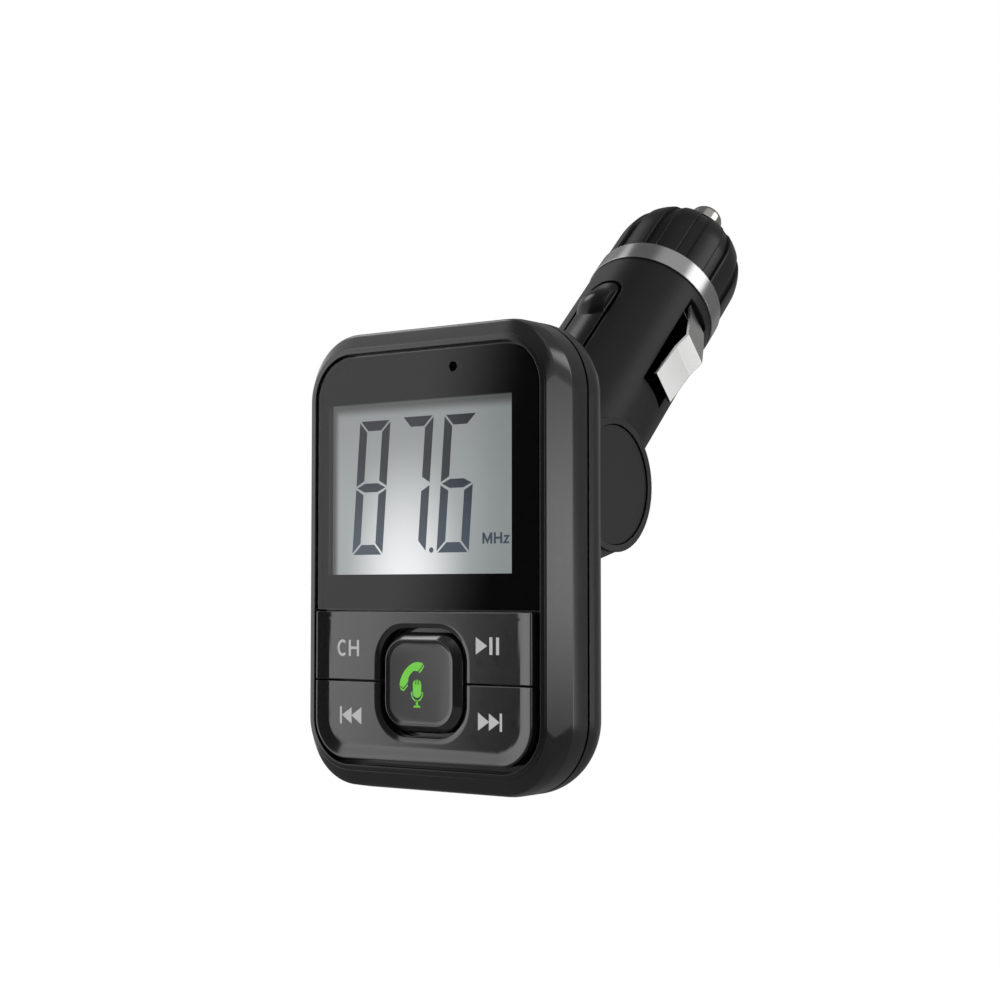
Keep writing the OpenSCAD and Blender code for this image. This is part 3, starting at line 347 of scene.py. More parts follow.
dress(display_glass(), "lcd_panel")
dress(plastic("white_plastic", "#d6d6d2", "#e2e2de", 0.42, grain=0.08), "lcd_frame",
      "backlight_led", "reflector_sheet", "lead_socket")
dress(plastic("light_guide", "#e4e8ea", "#f0f3f4", 0.08, grain=0.01), "backlight_guide")
dress(plastic("elastomer_pink", "#b58a94", "#c89aa4", 0.6, grain=0.05), "zebra_connector")


# Digits of the display: seven-segment figures with mitred ends that lean a little, a point and
# the unit's letters. They are dark liquid crystal between the glasses, here a thin layer on top.
LEAN = math.tan(math.radians(4.3))
DIGIT_W, DIGIT_H, BAR, GAP = 5.35, 18.2, 1.35, 0.2
MIDDLE_BAR, MITRE = 0.6, 0.75
CRYSTAL = (2.098, 2.116)


def figure(x0, z0, lit):
    """Outlines of the lit bars of one figure, from its lower left corner."""
    w, h, t, g, m = DIGIT_W, DIGIT_H, BAR, GAP, DIGIT_H / 2
    over, under = m + MIDDLE_BAR, m - MIDDLE_BAR
    high, low = m + MITRE + g, m - MITRE - g
    bars = {
        "top": [(g, h), (w - g, h), (w - g - t, h - t), (g + t, h - t)],
        "bottom": [(g, 0), (w - g, 0), (w - g - t, t), (g + t, t)],
        "middle": [(g, m), (t + g, over), (w - t - g, over), (w - g, m), (w - t - g, under),
                   (t + g, under)],
        "upper_right": [(w, h - g), (w - t, h - t - g), (w - t, high), (w, m + g)],
        "lower_right": [(w, g), (w - t, t + g), (w - t, low), (w, m - g)],
        "upper_left": [(0, h - g), (t, h - t - g), (t, high), (0, m + g)],
        "lower_left": [(0, g), (t, t + g), (t, low), (0, m - g)]}
    return [[(x0 + u + v * LEAN, z0 + v) for u, v in bars[name]] for name in lit]


def stroke(points, width, closed=False):
    """Outline of a line of this width through the points, with square ends."""
    sides = [[], []]
    last = len(points) - 1
    for i, (x, z) in enumerate(points):
        a = points[i - 1] if i or closed else points[0]
        b = points[(i + 1) % len(points)] if i < last or closed else points[-1]
        d1 = Vector((x - a[0], z - a[1])).normalized()
        d2 = Vector((b[0] - x, b[1] - z)).normalized()
        if d1.length < 0.5:
            d1 = d2
        if d2.length < 0.5:
            d2 = d1
        mid = (d1 + d2).normalized()
        reach = width / 2 / max(0.35, mid.dot(d1))
        sides[0].append((x - mid.y * reach, z + mid.x * reach))
        sides[1].append((x + mid.y * reach, z - mid.x * reach))
    return sides[0] + sides[1][::-1]


all_bars = ["top", "bottom", "middle", "upper_right", "lower_right", "upper_left", "lower_left"]
marks = figure(-13.95, 0.48, all_bars)
marks += figure(-6.5, 0.7, ["top", "upper_right", "lower_right"])
marks += figure(0.72, 0.62, [b for b in all_bars if b != "upper_right"])
marks.append(circle(-0.16, 0.98, 0.36))
UNIT_X, UNIT_Z, UNIT_H = 8.35, 1.68, 1.45
marks += [stroke([(UNIT_X + 0.13, UNIT_Z), (UNIT_X + 0.13, UNIT_Z + UNIT_H)], 0.33),
          stroke([(UNIT_X + 1.4, UNIT_Z), (UNIT_X + 1.4, UNIT_Z + UNIT_H)], 0.33),
          stroke([(UNIT_X + 0.16, UNIT_Z + UNIT_H - 0.1), (UNIT_X + 0.77, UNIT_Z + 0.25),
                  (UNIT_X + 1.37, UNIT_Z + UNIT_H - 0.1)], 0.3),
          stroke([(UNIT_X + 1.98, UNIT_Z), (UNIT_X + 1.98, UNIT_Z + UNIT_H)], 0.33),
          stroke([(UNIT_X + 3.0, UNIT_Z), (UNIT_X + 3.0, UNIT_Z + UNIT_H)], 0.33),
          stroke([(UNIT_X + 2.1, UNIT_Z + 0.74), (UNIT_X + 2.88, UNIT_Z + 0.74)], 0.28),
          stroke([(UNIT_X + 3.45, UNIT_Z + 0.95), (UNIT_X + 4.15, UNIT_Z + 0.95),
                  (UNIT_X + 3.5, UNIT_Z + 0.12), (UNIT_X + 4.28, UNIT_Z + 0.12)], 0.26)]


def crystal_ink():
    """Dark crystal whose emission colour paints the lamp's light through it, paler low down near the
    lamp.
    """
    f = Finish("dark_crystal")
    # Painted light of the lamp: the segments are paler towards the bottom.
    painted_lamp_rise = f.step(coordinate(f, 2), head(0, 0, 0.5).z, head(0, 0, 15).z)
    tone = f.blend(painted_lamp_rise, shade("#47515c"), shade("#15191e"))
    return f.surface(f.node("ShaderNodeBsdfPrincipled", {}, {
        "Base Color": (0.01, 0.01, 0.012, 1), "Roughness": 0.55, "Specular IOR Level": 0.0,
        "Emission Color": f.blend(f.noise(900, 2) * 0.1, tone, shade("#59626b")),
        "Emission Strength": 1.0}))


piece("display_digits", [plate([m], *CRYSTAL) for m in marks], crystal_ink(), "head")


# Window: one smoked acrylic panel let into the tray, with a microphone hole, and black film
# printed on its back all round the display.
def window_glass():
    """Clear to look through, and glossy by Fresnel on the faces turned to the eye."""
    f = Finish("smoked_window")
    ray = f.node("ShaderNodeFresnel", {}, {"IOR": 1.5})
    back = f.node("ShaderNodeNewGeometry", out="Backfacing")
    haze = f.step(f.noise(220, 4), 0.3, 0.8)
    sheen = f.node("ShaderNodeBsdfGlossy", {}, {"Color": (1, 1, 1, 1),
                                                "Roughness": 0.012 + haze * 0.01})
    clear = f.node("ShaderNodeBsdfTransparent", {}, {"Color": (0.93, 0.935, 0.94, 1)})
    return f.surface(f.node("ShaderNodeMixShader", {}, {0: ray * (1 - back), 1: clear, 2: sheen}))


dress(window_glass(), "display_window")
dress(plastic("mask_film", "#020202", "#040404", 0.5, ior=1.04, grain=0.02), "window_mask")


# Main board: green solder resist with five tactile switches in front; behind it the radio
# module, transmitter chip, crystal, capacitor, antenna wire and the socket of the lead.
def resist(name):
    """Solder resist with copper tracks that show through it."""
    f = Finish(name)
    cell = f.node("ShaderNodeTexVoronoi", {"feature": "DISTANCE_TO_EDGE"},
                  {"Vector": f.place(), "Scale": 420})
    track = 1 - f.step(cell, 0.05, 0.09)
    base = f.blend(f.noise(300, 3), shade("#0c3a1e"), shade("#104a27"))
    bump = f.node("ShaderNodeBump", {}, {"Strength": 0.3, "Distance": 0.00003, "Height": track})
    return f.surface(f.node("ShaderNodeBsdfPrincipled", {}, {
        "Base Color": f.blend(track * 0.6, base, shade("#1f7a42")), "Roughness": 0.32 + track * 0.1,
        "Normal": bump}))


dress(resist("circuit_board"), "main_board", "converter_board")
dress(plastic("chip_black", "#131313", "#1b1b1b", 0.45), "tact_switches", "transmitter_chip",
      "storage_capacitor", "converter_chip", "filter_capacitor")
dress(metal("tinned_steel", "#a9a9a6", "#c0c0bd", 0.3, lines=0.3, along=(1, 8, 1)), "microphone",
      "bluetooth_module", "crystal", "pivot_pins", "fuse_terminal")
RUBBER = plastic("rubber_black", "#0d0d0d", "#151515", 0.62, grain=0.3)
dress(RUBBER, "mic_boot", "lead_grommet", "head_lead", "plug_lead")
dress(plastic("wire_red", "#8c1512", "#a81d18", 0.4), "antenna_wire")


# Hinge: two steel pins in the knuckle of the plug, spring steel washers for friction, and a
# plain round cap in the recess of each ear.
dress(metal("washer_steel", "#85827c", "#9a9791", 0.34, lines=0.3, along=(1, 6, 1)),
      "friction_washers")
dress(plastic("cap_black", "#101010", "#161616", 0.4, edge=0.00015), "hinge_cap_left",
      "hinge_cap_right")


# Rocker keys: satin black keys, each one moulding with a sloping border that dishes its face, cut
# away round the call key with a small lip. A print on each end says what it does.
KEY_BLACK = plastic("key_black", "#0d0d0d", "#121213", 0.13, ior=2.0, grain=0.04, edge=0.00006)
KEYS = (18.05, 26.9, 5.35)
WELL = (7.168, 7.168, 4.5)
KEY_FACE, KEY_CREST, KEY_BACK = -0.2, -0.6, 1.6
BORDER, CREST, LIP, LIP_DEPTH, EDGE_R = 1.9, 0.3, 0.6, 0.2, 0.1
SEAM_GAP = 0.1
# Distances of the mesh lines from the well and from the outer edge, on a line of the full length.
NEAR_WELL = [0, 0.03, 0.06, 0.1, 0.2, 0.35, 0.5, 0.68, 0.9]
NEAR_EDGE = [0, 0.03, 0.06, 0.1, 0.2, 0.3, 0.5, 0.75, 1.0, 1.3, 1.6, 1.9, 2.1]
FULL_LINE, BETWEEN = 3.2, 14


def inside(x, z, half_w, half_h, corner):
    """How far a point lies inside a rounded rectangle about the middle; negative outside."""
    dx, dz = abs(x) - half_w + corner, abs(z) - half_h + corner
    return corner - math.hypot(max(dx, 0), max(dz, 0)) - min(max(dx, dz), 0)


def ease(t):
    """0 to 1, with a soft start and a soft end."""
    t = min(1, max(0, t))
    return 0.6 * t + 0.4 * t * t * (3 - 2 * t)


def turned(d, r):
    """Fall of a rounded edge of this radius at a distance from it."""
    return r - math.sqrt(max(0, r * r - (r - min(d, r)) ** 2))


def key_height(x, z, z0, z1):
    """Depth of a key's face: highest round its border, lower in the middle and at the well."""
    rim = inside(x, z, *KEYS)
    well = -inside(x, z - SEAM_Z, *WELL)
    y = KEY_CREST + (KEY_FACE - KEY_CREST) * ease((rim - CREST) / (BORDER - CREST))
    y += LIP_DEPTH * (1 - ease(well / LIP)) if well < LIP else 0
    for edge in (rim, well, z - z0, z1 - z):
        y += turned(max(0, edge), EDGE_R)
    return y


def cast(origin, toward):
    """Where the line between two points crosses the well's outline."""
    a, b = 0.0, 1.0
    for _ in range(40):
        t = (a + b) / 2
        x = origin[0] + (toward[0] - origin[0]) * t
        z = origin[1] + (toward[1] - origin[1]) * t
        a, b = (t, b) if inside(x, z - SEAM_Z, *WELL) > 0 else (a, t)
    return x, z


def spread(low, high, fine, steps):
    """Values between two ends, close together near both."""
    near = [0, 0.02, 0.05, 0.1, 0.18, 0.3]
    inner = [low + (high - low) * i / steps for i in range(1, steps)]
    ends = [low + fine * n for n in near] + [high - fine * n for n in near]
    return sorted(set(round(v, 5) for v in inner + ends))


def rocker(name, outer, z0, z1, origin):
    """One key between its outline, from right to left, and the well of the call key."""
    inner = [cast(origin, p) for p in outer]
    rows = []
    for (x0, zz0), (x1, zz1) in zip(inner, outer):
        length = math.hypot(x1 - x0, zz1 - zz0)
        scale = min(1, length / FULL_LINE)
        spots = [s * scale for s in NEAR_WELL]
        between = length - (NEAR_EDGE[-1] + NEAR_WELL[-1]) * scale
        spots += [spots[-1] + between * i / BETWEEN for i in range(1, BETWEEN)]
        spots += [length - e * scale for e in reversed(NEAR_EDGE)]
        rows.append([(x0 + (x1 - x0) * s / length, zz0 + (zz1 - zz0) * s / length) for s in spots])
    n, m = len(rows), len(rows[0])
    points = [head(x, key_height(x, z, z0, z1), z) for row in rows for x, z in row]
    back = [[head(x, KEY_BACK, z) for x, z in (row[0], row[-1])] for row in rows]
    first_back = len(points)
    points += [p for pair in back for p in pair]
    faces = []
    for i in range(n - 1):
        a, b = i * m, (i + 1) * m
        faces += [(a + k, b + k, b + k + 1, a + k + 1) for k in range(m - 1)]
        p, q = first_back + 2 * i, first_back + 2 * i + 2
        faces += [(p, p + 1, q + 1, q), (a, p, q, b), (a + m - 1, b + m - 1, q + 1, p + 1)]
    for i in (0, n - 1):
        faces.append(tuple(range(i * m, i * m + m)) + (first_back + 2 * i + 1, first_back + 2 * i))
    made = piece(name, [(points, faces)], KEY_BLACK, name, sharp=50)
    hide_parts(name + "_key")


w, h, r = KEYS
top, low = SPLIT_Z - 0.125, SEAM_Z + SEAM_GAP
edge_z = spread(low, top, 1.0, 16)
edge_x = spread(-w, w, 1.0, 60)
outline = [(w, z) for z in edge_z] + [(x, top) for x in reversed(edge_x[1:-1])] \
    + [(-w, z) for z in reversed(edge_z)]
rocker("upper_rocker", outline, low, top, (0, low))
top = SEAM_Z - SEAM_GAP
edge_z = spread(r - h, top, 1.0, 8)
bend = [math.radians(3 * i) for i in range(1, 30)]
outline = [(w, z) for z in reversed(edge_z)]
outline += [(w - r + r * math.cos(a), r - h - r * math.sin(a)) for a in bend]
outline += [(w - r - i * (w - r) / 24, -h) for i in range(49)]
outline += [(r - w - r * math.sin(a), r - h - r * math.cos(a)) for a in bend]
outline += [(-w, z) for z in edge_z]
rocker("lower_rocker", outline, -h - 5, top, (0, top))


def arc(x, z, rx, rz, start, end, steps=20):
    """Points of an ellipse between two angles in degrees, from the right towards the top."""
    turn = [math.radians(start + (end - start) * i / steps) for i in range(steps + 1)]
    return [(x + rx * math.cos(a), z + rz * math.sin(a)) for a in turn]


def ink(name, colour):
    """Pad print: matt ink with a soft, slightly uneven edge to its tone."""
    f = Finish(name)
    drift = f.noise(2200, 3)
    low_tone = tuple(c * 0.86 for c in shade(colour)[:3]) + (1,)
    return f.surface(f.node("ShaderNodeBsdfPrincipled", {}, {
        "Base Color": f.blend(drift, low_tone, shade(colour)), "Roughness": 0.55 + drift * 0.1}))


PRINT_GREY = ink("print_grey", "#b4b4b4")
PRINT = (KEY_FACE - 0.018, KEY_FACE + 0.02)
letters = [stroke(arc(-13.62, -12.1, 0.72, 0.94, 48, 312), 0.36),
           stroke([(-12.32, -13.2), (-12.32, -11.02)], 0.38),
           stroke([(-10.88, -13.2), (-10.88, -11.02)], 0.38),
           stroke([(-12.14, -12.08), (-11.06, -12.08)], 0.36)]
play = [[(9.0, -12.58), (10.82, -11.48), (9.0, -10.38)],
        stroke([(11.42, -12.6), (11.42, -10.38)], 0.48),
        stroke([(12.48, -12.6), (12.48, -10.38)], 0.48)]
back_skip = [stroke([(-13.86, -22.3), (-13.86, -20.0)], 0.34),
             [(-13.66, -21.15), (-11.96, -20.05), (-11.96, -22.25)],
             [(-12.0, -21.15), (-10.24, -20.0), (-10.24, -22.3)]]
next_skip = [stroke([(13.0, -22.3), (13.0, -20.0)], 0.36),
             [(12.8, -21.15), (11.1, -20.05), (11.1, -22.25)],
             [(11.14, -21.15), (9.36, -20.0), (9.36, -22.3)]]
piece("upper_print", [plate([m], *PRINT) for m in letters + play], PRINT_GREY, "upper_rocker")
piece("lower_print", [plate([m], *PRINT) for m in back_skip + next_skip], PRINT_GREY,
      "lower_rocker")


# Call key: a square key with a steep bevel and a dished face, guided by a flange behind the
# rocker keys. A green handset and microphone are printed on it.
CALL = (6.568, 6.568, 3.9)
CALL_CREST = -0.7
CALL_PRINT = (-0.556, -0.49)
# Distance in from the side and depth, over the dished face, the crest and the bevel; then half
# width, corner radius and depth of the flange and of the stem that pushes the switch.
call_rings = [(CALL[0] - inset, CALL[2] - inset, y) for inset, y in (
    (1.6, -0.54), (1.45, -0.545), (1.3, -0.565), (1.2, -0.6), (1.12, -0.655), (1.06, -0.69),
    (1.0, CALL_CREST), (0.95, CALL_CREST), (0.9, -0.685), (0.86, -0.65), (0.1, 0.19),
    (0.05, 0.25), (0.0, 0.34), (0.0, 1.95))]
call_rings += [(7.6, 4.8, 1.95), (7.6, 4.8, 2.55), (1.5, 1.5, 2.55), (1.5, 1.5, 5.4),
               (0.1, 0.1, 5.42)]
call = piece("call_button", [loft([[head(x, y, z) for x, z in rounded(s, s, r, 12, 0, SEAM_Z)]
                                   for s, r, y in call_rings])], KEY_BLACK, "call_button",
             sharp=60)
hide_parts("call_key")

handset = [(-3.36, -16.86), (-3.2, -16.1), (-2.85, -15.4), (-2.35, -14.75), (-1.7, -14.22),
           (-1.0, -13.86), (-0.35, -13.74), (0.35, -13.8), (0.68, -13.98), (0.1, -14.62),
           (-0.3, -14.95), (-0.95, -14.9), (-1.45, -15.3), (-1.85, -15.82), (-1.88, -16.32),
           (-2.1, -16.6), (-2.75, -17.22)]
ear_piece = [(0.76, -14.08), (0.2, -14.72), (-0.16, -15.04), (0.02, -15.2), (0.42, -14.84),
             (0.78, -14.3)]
mouth_piece = [(-3.36, -17.02), (-2.72, -17.4), (-1.98, -16.72), (-1.9, -16.9), (-2.66, -17.62),
               (-3.1, -17.45)]
MIC_X = -0.39
capsule = [(MIC_X - 0.7, -16.62), (MIC_X - 0.58, -16.28)]
for x in (-0.28, 0.0, 0.28):
    top_z = -16.02 if x == 0 else -16.12
    capsule += [(MIC_X + x - 0.07, top_z), (MIC_X + x - 0.05, -16.72), (MIC_X + x + 0.05, -16.72),
                (MIC_X + x + 0.07, top_z)]
capsule += [(MIC_X + 0.58, -16.28), (MIC_X + 0.7, -16.62)] + arc(MIC_X, -17.8, 0.7, 0.62, 0, -180, 14)
yoke = stroke(arc(MIC_X, -17.85, 0.92, 0.98, 168, 372, 20), 0.17)
stand = [stroke([(MIC_X, -18.8), (MIC_X, -19.45)], 0.34),
         [(MIC_X - 0.58, -19.7), (MIC_X + 0.58, -19.7), (MIC_X + 0.5, -19.48), (MIC_X + 0.17, -19.4),
          (MIC_X - 0.17, -19.4), (MIC_X - 0.5, -19.48)]]
piece("call_print",
      [plate([m], *CALL_PRINT) for m in [handset, ear_piece, mouth_piece, capsule, yoke] + stand],
      ink("print_green", "#6fc840"), "call_button")


# Plug: two black half shells screwed together, with the grip tongues moulded on at their roots.
dress(plastic("barrel_black", "#0b0b0b", "#101010", 0.42, ior=1.42, edge=0.00018), "plug_shell_upper",
      "plug_shell_lower")
dress(plastic("tongue_black", "#070707", "#0b0b0b", 0.2, ior=1.45, edge=0.0002), "grip_tongue_upper",
      "grip_tongue_lower")
dress(SCREW_NICKEL, "plug_screws")


# Earth contacts: a nickel-plated spring strip bent to a ridge on each side of the barrel, and a
# turned ring clamped between the barrel and the nose cap.
dress(metal("spring_strip", "#bebebc", "#d4d4d2", 0.16, lines=0.25, along=(1, 5, 5)),
      "ground_contact_right", "ground_contact_left", "contact_spring")
dress(metal("ring_nickel", "#b6b6b6", "#c8c8c8", 0.2, edge=0.00025, lines=0.15, along=(6, 1, 1)),
      "retaining_ring")


# Converter board in the barrel: green board that carries a drum inductor, wound with enamelled
# copper wire, beside its chip and capacitor. Only the winding has a finish of its own.
WIRE_PITCH = 0.0003927


def winding():
    """Turns of copper wire round the inductor, one after another away from the board."""
    f = Finish("copper_winding")
    off_board = coordinate(f, 1) * math.sin(PLUG_RISE) - coordinate(f, 2) * math.cos(PLUG_RISE)
    turn = f.node("ShaderNodeMath", {"operation": "SINE"},
                  {0: off_board * (2 * math.pi / WIRE_PITCH)})
    bump = f.node("ShaderNodeBump", {}, {"Strength": 0.5, "Distance": 0.0001, "Height": turn})
    return f.surface(f.node("ShaderNodeBsdfPrincipled", {}, {
        # The colour follows the turns: lighter on their crests, with painted shade in the grooves
        # between them.
        "Base Color": f.blend(f.step(turn, -1, 1), shade("#5e2f14"), shade("#a85f2e")),
        "Roughness": 0.35 + turn * 0.05, "Normal": bump}))


dress(winding(), "power_inductor")


# Fuse, its holder and the sprung contact pin, which push on one another along the plug's axis; a
# white bush keeps the pin off the nose cap.
FUSE_MID, FUSE_BARE = 0.0032, 0.0053


def fuse_glass():
    """Glass tube with a metal cap on each end."""
    f = Finish("fuse_glass")
    s = f.node("ShaderNodeVectorMath", {"operation": "DOT_PRODUCT"}, {
        0: f.place(), 1: (0, math.cos(PLUG_RISE), math.sin(PLUG_RISE))}, out=1)
    cap = f.step(abs(s - FUSE_MID), FUSE_BARE, FUSE_BARE + 0.0003)
    return f.surface(f.node("ShaderNodeBsdfPrincipled", {}, {
        "Base Color": f.blend(cap, shade("#c8d4d2"), shade("#bdbab2")),
        "Metallic": cap, "Roughness": 0.12 + cap * 0.15}))


dress(fuse_glass(), "fuse")
dress(plastic("holder_plastic", "#161616", "#1e1e1e", 0.45), "fuse_holder")
dress(plastic("bush_white", "#d4d4ce", "#deded8", 0.4), "insulating_bush")
dress(metal("pin_nickel", "#c4c1ba", "#d8d5cf", 0.16, edge=0.00015), "contact_pin")


# Nose cap: screwed onto the plug's thread to hold the ring and to let the fuse out. Twelve grip
# panels stand round it, parted by shallow grooves that stop short of its face.
def plug(x, y, s):
    """A point of the part, from millimetres across, down and along the plug from the hinge."""
    a = PLUG_RISE - math.pi / 2
    s -= HINGE_TO_RING
    return Vector((x, y * math.cos(a) - s * math.sin(a), y * math.sin(a) + s * math.cos(a))) / 1000


NOSE_BLACK = plastic("nose_black", "#080808", "#0d0d0d", 0.32, ior=1.4)
PANELS, FLUTE_DEPTH, FLUTE_DEG = 12, 0.55, 10.5
FLUTE_SHALLOWS_FROM, FLUTE_SHALLOWS_BY = 55, 0.7
CAP_FROM, CAP_TO, CAP_R, CAP_FACE_R, CAP_ROUND = 45.5, 60.8, 10.25, 4.1, 8.9
CAP_LIP, CAP_FACE_T = 1.25, 1.25
THREAD_R, THREAD_L, CAVITY_R, PIN_HOLE_R = 8.66, 6.7, 5.2, 2.85
RIB_ROOT, RIB_EDGE = 0.85, 0.14
STEPS_ROUND = 144


def cap_radius(s, drawn_in=0.0):
    """Outer radius at a distance along the plug, or less by the depth of a groove."""
    t = max(0, s - (CAP_TO - CAP_ROUND)) / (CAP_ROUND - drawn_in)
    return CAP_FACE_R - drawn_in + (CAP_R - CAP_FACE_R) * math.sqrt(max(0, 1 - min(1, t) ** 2))


def flute_depth(s):
    """Depth of a groove, which runs out towards the lip."""
    run = (s - FLUTE_SHALLOWS_FROM) / (CAP_TO - CAP_LIP - FLUTE_SHALLOWS_FROM)
    return FLUTE_DEPTH * (1 - FLUTE_SHALLOWS_BY * max(0, run))


along = [CAP_FROM + 0.12, CAP_FROM + 1, 47, 49, 51, 52.5]
along += [CAP_TO - CAP_ROUND + CAP_ROUND * math.sin(math.radians(a)) for a in range(5, 56, 3)]
lip_from = CAP_TO - CAP_LIP
core = [(THREAD_R, CAP_FROM), (cap_radius(CAP_FROM, FLUTE_DEPTH) - 0.1, CAP_FROM)]
core += [(cap_radius(s, flute_depth(s)), s) for s in along if s < lip_from - 0.3]
core += [(cap_radius(lip_from, flute_depth(lip_from)), lip_from),
         (cap_radius(lip_from) - 0.05, lip_from)]
core += [(cap_radius(lip_from + s), lip_from + s) for s in (0.1, 0.3, 0.55, 0.8, 1.0, 1.15, 1.22)]
core += [(CAP_FACE_R - 0.3, CAP_TO), (PIN_HOLE_R + 0.15, CAP_TO), (PIN_HOLE_R, CAP_TO - 0.15),
         (PIN_HOLE_R, CAP_TO - CAP_FACE_T), (CAVITY_R, CAP_TO - CAP_FACE_T),
         (CAVITY_R, CAP_FROM + THREAD_L), (THREAD_R, CAP_FROM + THREAD_L)]
cap_body = loft([[plug(x, z, s) for x, z in circle(0, 0, r, STEPS_ROUND)] for r, s in core],
                closed=True)
half = math.radians(180 / PANELS - FLUTE_DEG / 2)
ribs = []
for s in [CAP_FROM + 0.02, CAP_FROM + 0.1] + along[1:] + [lip_from + 0.05]:
    outer = cap_radius(s) - (0.1 if s < CAP_FROM + 0.05 else 0)
    corner = RIB_EDGE / outer
    across = [(-half, outer - RIB_ROOT), (-half, outer - RIB_EDGE),
              (-half + 0.3 * corner, outer - 0.05), (-half + corner, outer)]
    across += [(half * (k / 6 - 1) * 0.92, outer) for k in range(1, 12)]
    across += [(-a, q) for a, q in reversed(across[:4])]
    ribs.append([plug(q * math.sin(a), -q * math.cos(a), s) for a, q in across])
rib = piece("grip_panel", [loft(ribs)], NOSE_BLACK, None, sharp=40)


def round_the_axis(maker, count, axis, finish):
    """Mesh of a piece repeated round an axis through the part's origin, by a node modifier."""
    tree = bpy.data.node_groups.new("grip_panels", "GeometryNodeTree")
    face = tree.interface
    face.new_socket("Geometry", in_out="INPUT", socket_type="NodeSocketGeometry")
    sockets = {
        "Panels": face.new_socket("Panels", in_out="INPUT", socket_type="NodeSocketInt"),
        "Axis": face.new_socket("Axis", in_out="INPUT", socket_type="NodeSocketVector"),
        "Finish": face.new_socket("Finish", in_out="INPUT", socket_type="NodeSocketMaterial")}
    face.new_socket("Geometry", in_out="OUTPUT", socket_type="NodeSocketGeometry")
    made = {kind: tree.nodes.new(kind) for kind in (
        "NodeGroupInput", "NodeGroupOutput", "GeometryNodeMeshLine", "GeometryNodeInputIndex",
        "ShaderNodeMath", "FunctionNodeAxisAngleToRotation", "GeometryNodeInstanceOnPoints",
        "GeometryNodeRealizeInstances", "GeometryNodeSetMaterial")}
    given, line = made["NodeGroupInput"], made["GeometryNodeMeshLine"]
    line.inputs["Offset"].default_value = (0, 0, 0)
    step = made["ShaderNodeMath"]
    step.operation = "DIVIDE"
    per_turn = tree.nodes.new("ShaderNodeMath")
    per_turn.operation = "MULTIPLY"
    per_turn.inputs[1].default_value = 2 * math.pi
    turn, copies = made["FunctionNodeAxisAngleToRotation"], made["GeometryNodeInstanceOnPoints"]
    for a, b in ((given.outputs["Panels"], line.inputs["Count"]),
                 (made["GeometryNodeInputIndex"].outputs[0], step.inputs[0]),
                 (given.outputs["Panels"], step.inputs[1]),
                 (step.outputs[0], per_turn.inputs[0]),
                 (given.outputs["Axis"], turn.inputs["Axis"]),
                 (per_turn.outputs[0], turn.inputs["Angle"]),
                 (line.outputs[0], copies.inputs["Points"]),
                 (given.outputs["Geometry"], copies.inputs["Instance"]),
                 (turn.outputs[0], copies.inputs["Rotation"]),
                 (copies.outputs[0], made["GeometryNodeRealizeInstances"].inputs[0]),
                 (made["GeometryNodeRealizeInstances"].outputs[0],
                  made["GeometryNodeSetMaterial"].inputs["Geometry"]),
                 (given.outputs["Finish"], made["GeometryNodeSetMaterial"].inputs["Material"]),
                 (made["GeometryNodeSetMaterial"].outputs[0],
                  made["NodeGroupOutput"].inputs["Geometry"])):
        tree.links.new(a, b)
    modifier = maker.modifiers.new("round_the_axis", "NODES")
    modifier.node_group = tree
    for name, value in (("Panels", count), ("Axis", axis), ("Finish", finish)):
        modifier[sockets[name].identifier] = value
    bpy.context.view_layer.update()
    whole = maker.evaluated_get(bpy.context.evaluated_depsgraph_get())
    mesh = bpy.data.meshes.new_from_object(whole)
    maker.modifiers.remove(modifier)
    return mesh


panels_mesh = round_the_axis(rib, PANELS, (0, math.cos(PLUG_RISE), math.sin(PLUG_RISE)), NOSE_BLACK)
bpy.data.objects.remove(rib)
panels = bpy.data.objects.new("nose_cap_grip", panels_mesh)
bpy.context.collection.objects.link(panels)
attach(panels, "cap")
cap = piece("nose_cap_body", [cap_body], NOSE_BLACK, "cap", sharp=35)
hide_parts("nose_cap")


# Studio: the part hangs over a pale floor. Panels at the left, the right and overhead give it its
# highlights and four soft lamps its plain light; the camera stands right and a little below.
LEFT_PANEL_EDGE = (-0.7765, 0.6090, 0.1623)
FLOOR_Z, FLOOR_REACH = -0.3, 1.0
WHITE = (1, 1, 1, 1)


def direction(azimuth, elevation):
    """Unit vector towards angles in degrees, from the part's front round to its right, and up."""
    a, e = math.radians(azimuth), math.radians(elevation)
    return (math.sin(a) * math.cos(e), -math.cos(a) * math.cos(e), math.sin(e))


world = bpy.data.worlds.new("studio")
bpy.context.scene.world = world
sky = Finish("studio", world)
look = sky.node("ShaderNodeTexCoord", out="Generated")


def facing(normal):
    """Cosine of the angle between the way that is looked and this one."""
    return sky.node("ShaderNodeVectorMath", {"operation": "DOT_PRODUCT"}, {0: look, 1: normal}, out=1)


def spot(azimuth, elevation, full, none):
    """Round light panel: 1 within the first angle of its middle, 0 beyond the second."""
    return sky.step(facing(direction(azimuth, elevation)), math.cos(math.radians(none)),
                    math.cos(math.radians(full)))


height = facing((0, 0, 1))
left_panel = spot(-75, 4, 44, 58) * sky.step(facing(LEFT_PANEL_EDGE), -0.026, 0.03) \
    * (1 - sky.step(height, 0.15, 0.7) * 0.55)
right_panel = sky.step(abs(facing(direction(180, 0))), 0.454, 0.259) \
    * sky.step(height, -0.13, -0.01) * (1 - sky.step(height, 0.02, 0.22) * 0.85) \
    * sky.step(facing(direction(90, 0)), 0.0, 0.2)
high = spot(128, 32, 9, 16)
low = spot(131, -4, 8, 13)
overhead = spot(-93, 51, 6, 13)
behind = spot(148, 12, 25, 60)
zenith = sky.step(height, 0.35, 0.95)
backdrop = spot(216, 0, 30, 48)
# Each panel by its strength, where 1 is white, over a faint fill.
level = 0.05 + left_panel * 1.15 + right_panel * 2.1 + high * 1.9 + low * 1.6 + overhead * 2.4 \
    + behind * 0.15 + zenith * 0.12


def ray(finish, kind):
    """1 for rays of this kind, 0 for others."""
    return finish.node("ShaderNodeLightPath", out=f"Is {kind} Ray")


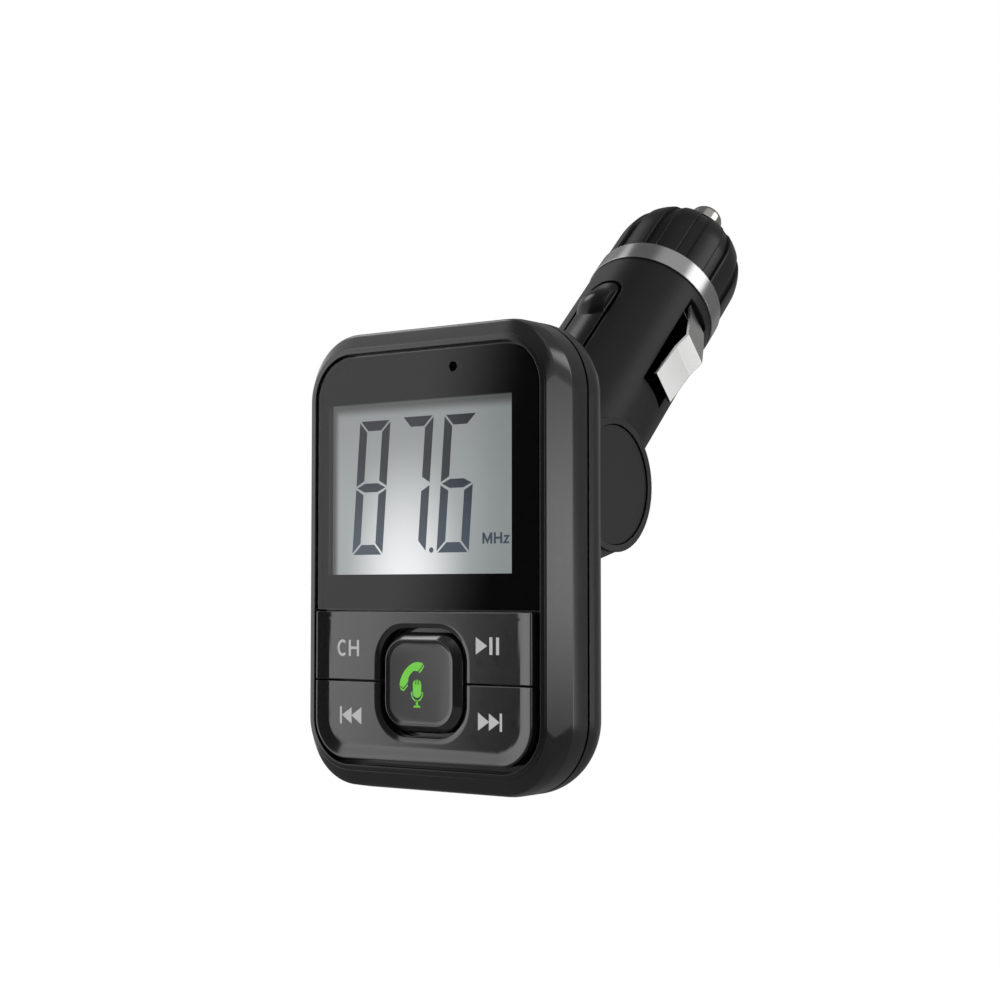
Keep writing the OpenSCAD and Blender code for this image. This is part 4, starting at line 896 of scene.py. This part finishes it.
bare = ray(sky, "Camera") + ray(sky, "Transmission") + ray(sky, "Glossy") * backdrop * 0.15
bare = sky.node("ShaderNodeMath", {"operation": "MINIMUM"}, {0: bare, 1: 1.0})
lit = sky.node("ShaderNodeBackground", {}, {"Color": WHITE, "Strength": level})
plain = sky.node("ShaderNodeBackground", {}, {"Color": WHITE, "Strength": 1.0})
sky.node_out("ShaderNodeOutputWorld",
             sky.node("ShaderNodeMixShader", {}, {0: bare, 1: lit, 2: plain}))

for azimuth, elevation, strength in ((-20, 30, 1.6), (60, 20, 1.0), (150, 30, 1.1), (-130, 30, 1.1)):
    lamp = bpy.data.lights.new("soft_lamp", "SUN")
    lamp.energy, lamp.angle = strength, math.radians(60)
    hung = bpy.data.objects.new("soft_lamp", lamp)
    hung.rotation_euler = Vector(direction(azimuth, elevation)).to_track_quat("Z", "Y").to_euler()
    hung.visible_glossy = False
    bpy.context.collection.objects.link(hung)

paint = Finish("studio_floor")
shiny = ray(paint, "Glossy")
pale = paint.node("ShaderNodeBsdfDiffuse", {}, {
    "Color": paint.blend(shiny, (0.85, 0.85, 0.85, 1), (0.1, 0.1, 0.1, 1))})
straight = ray(paint, "Camera") + ray(paint, "Transmission")
glow = paint.node("ShaderNodeEmission", {}, {
    "Color": WHITE, "Strength": straight * 0.4 + shiny * 0.05})
ground = bpy.data.meshes.new("floor")
ground.from_pydata([(x, z, FLOOR_Z) for x, z in box_loop(-FLOOR_REACH, FLOOR_REACH, -FLOOR_REACH,
                                                         FLOOR_REACH)], [], [(0, 1, 2, 3)])
ground.materials.append(paint.surface(paint.node("ShaderNodeAddShader", {}, {0: pale, 1: glow})))
floor_object = bpy.data.objects.new("floor", ground)
bpy.context.collection.objects.link(floor_object)

eye = bpy.data.cameras.new("camera")
eye.lens, eye.sensor_width = 67.76, 36
eye.clip_start, eye.clip_end = 0.01, 30
camera = bpy.data.objects.new("camera", eye)
camera.location = (0.15517, -0.25126, -0.0456)
camera.rotation_euler = (math.radians(92.873), 0, math.radians(36.385))
bpy.context.collection.objects.link(camera)
bpy.context.scene.camera = camera
bpy.context.scene.view_settings.view_transform = "Standard"
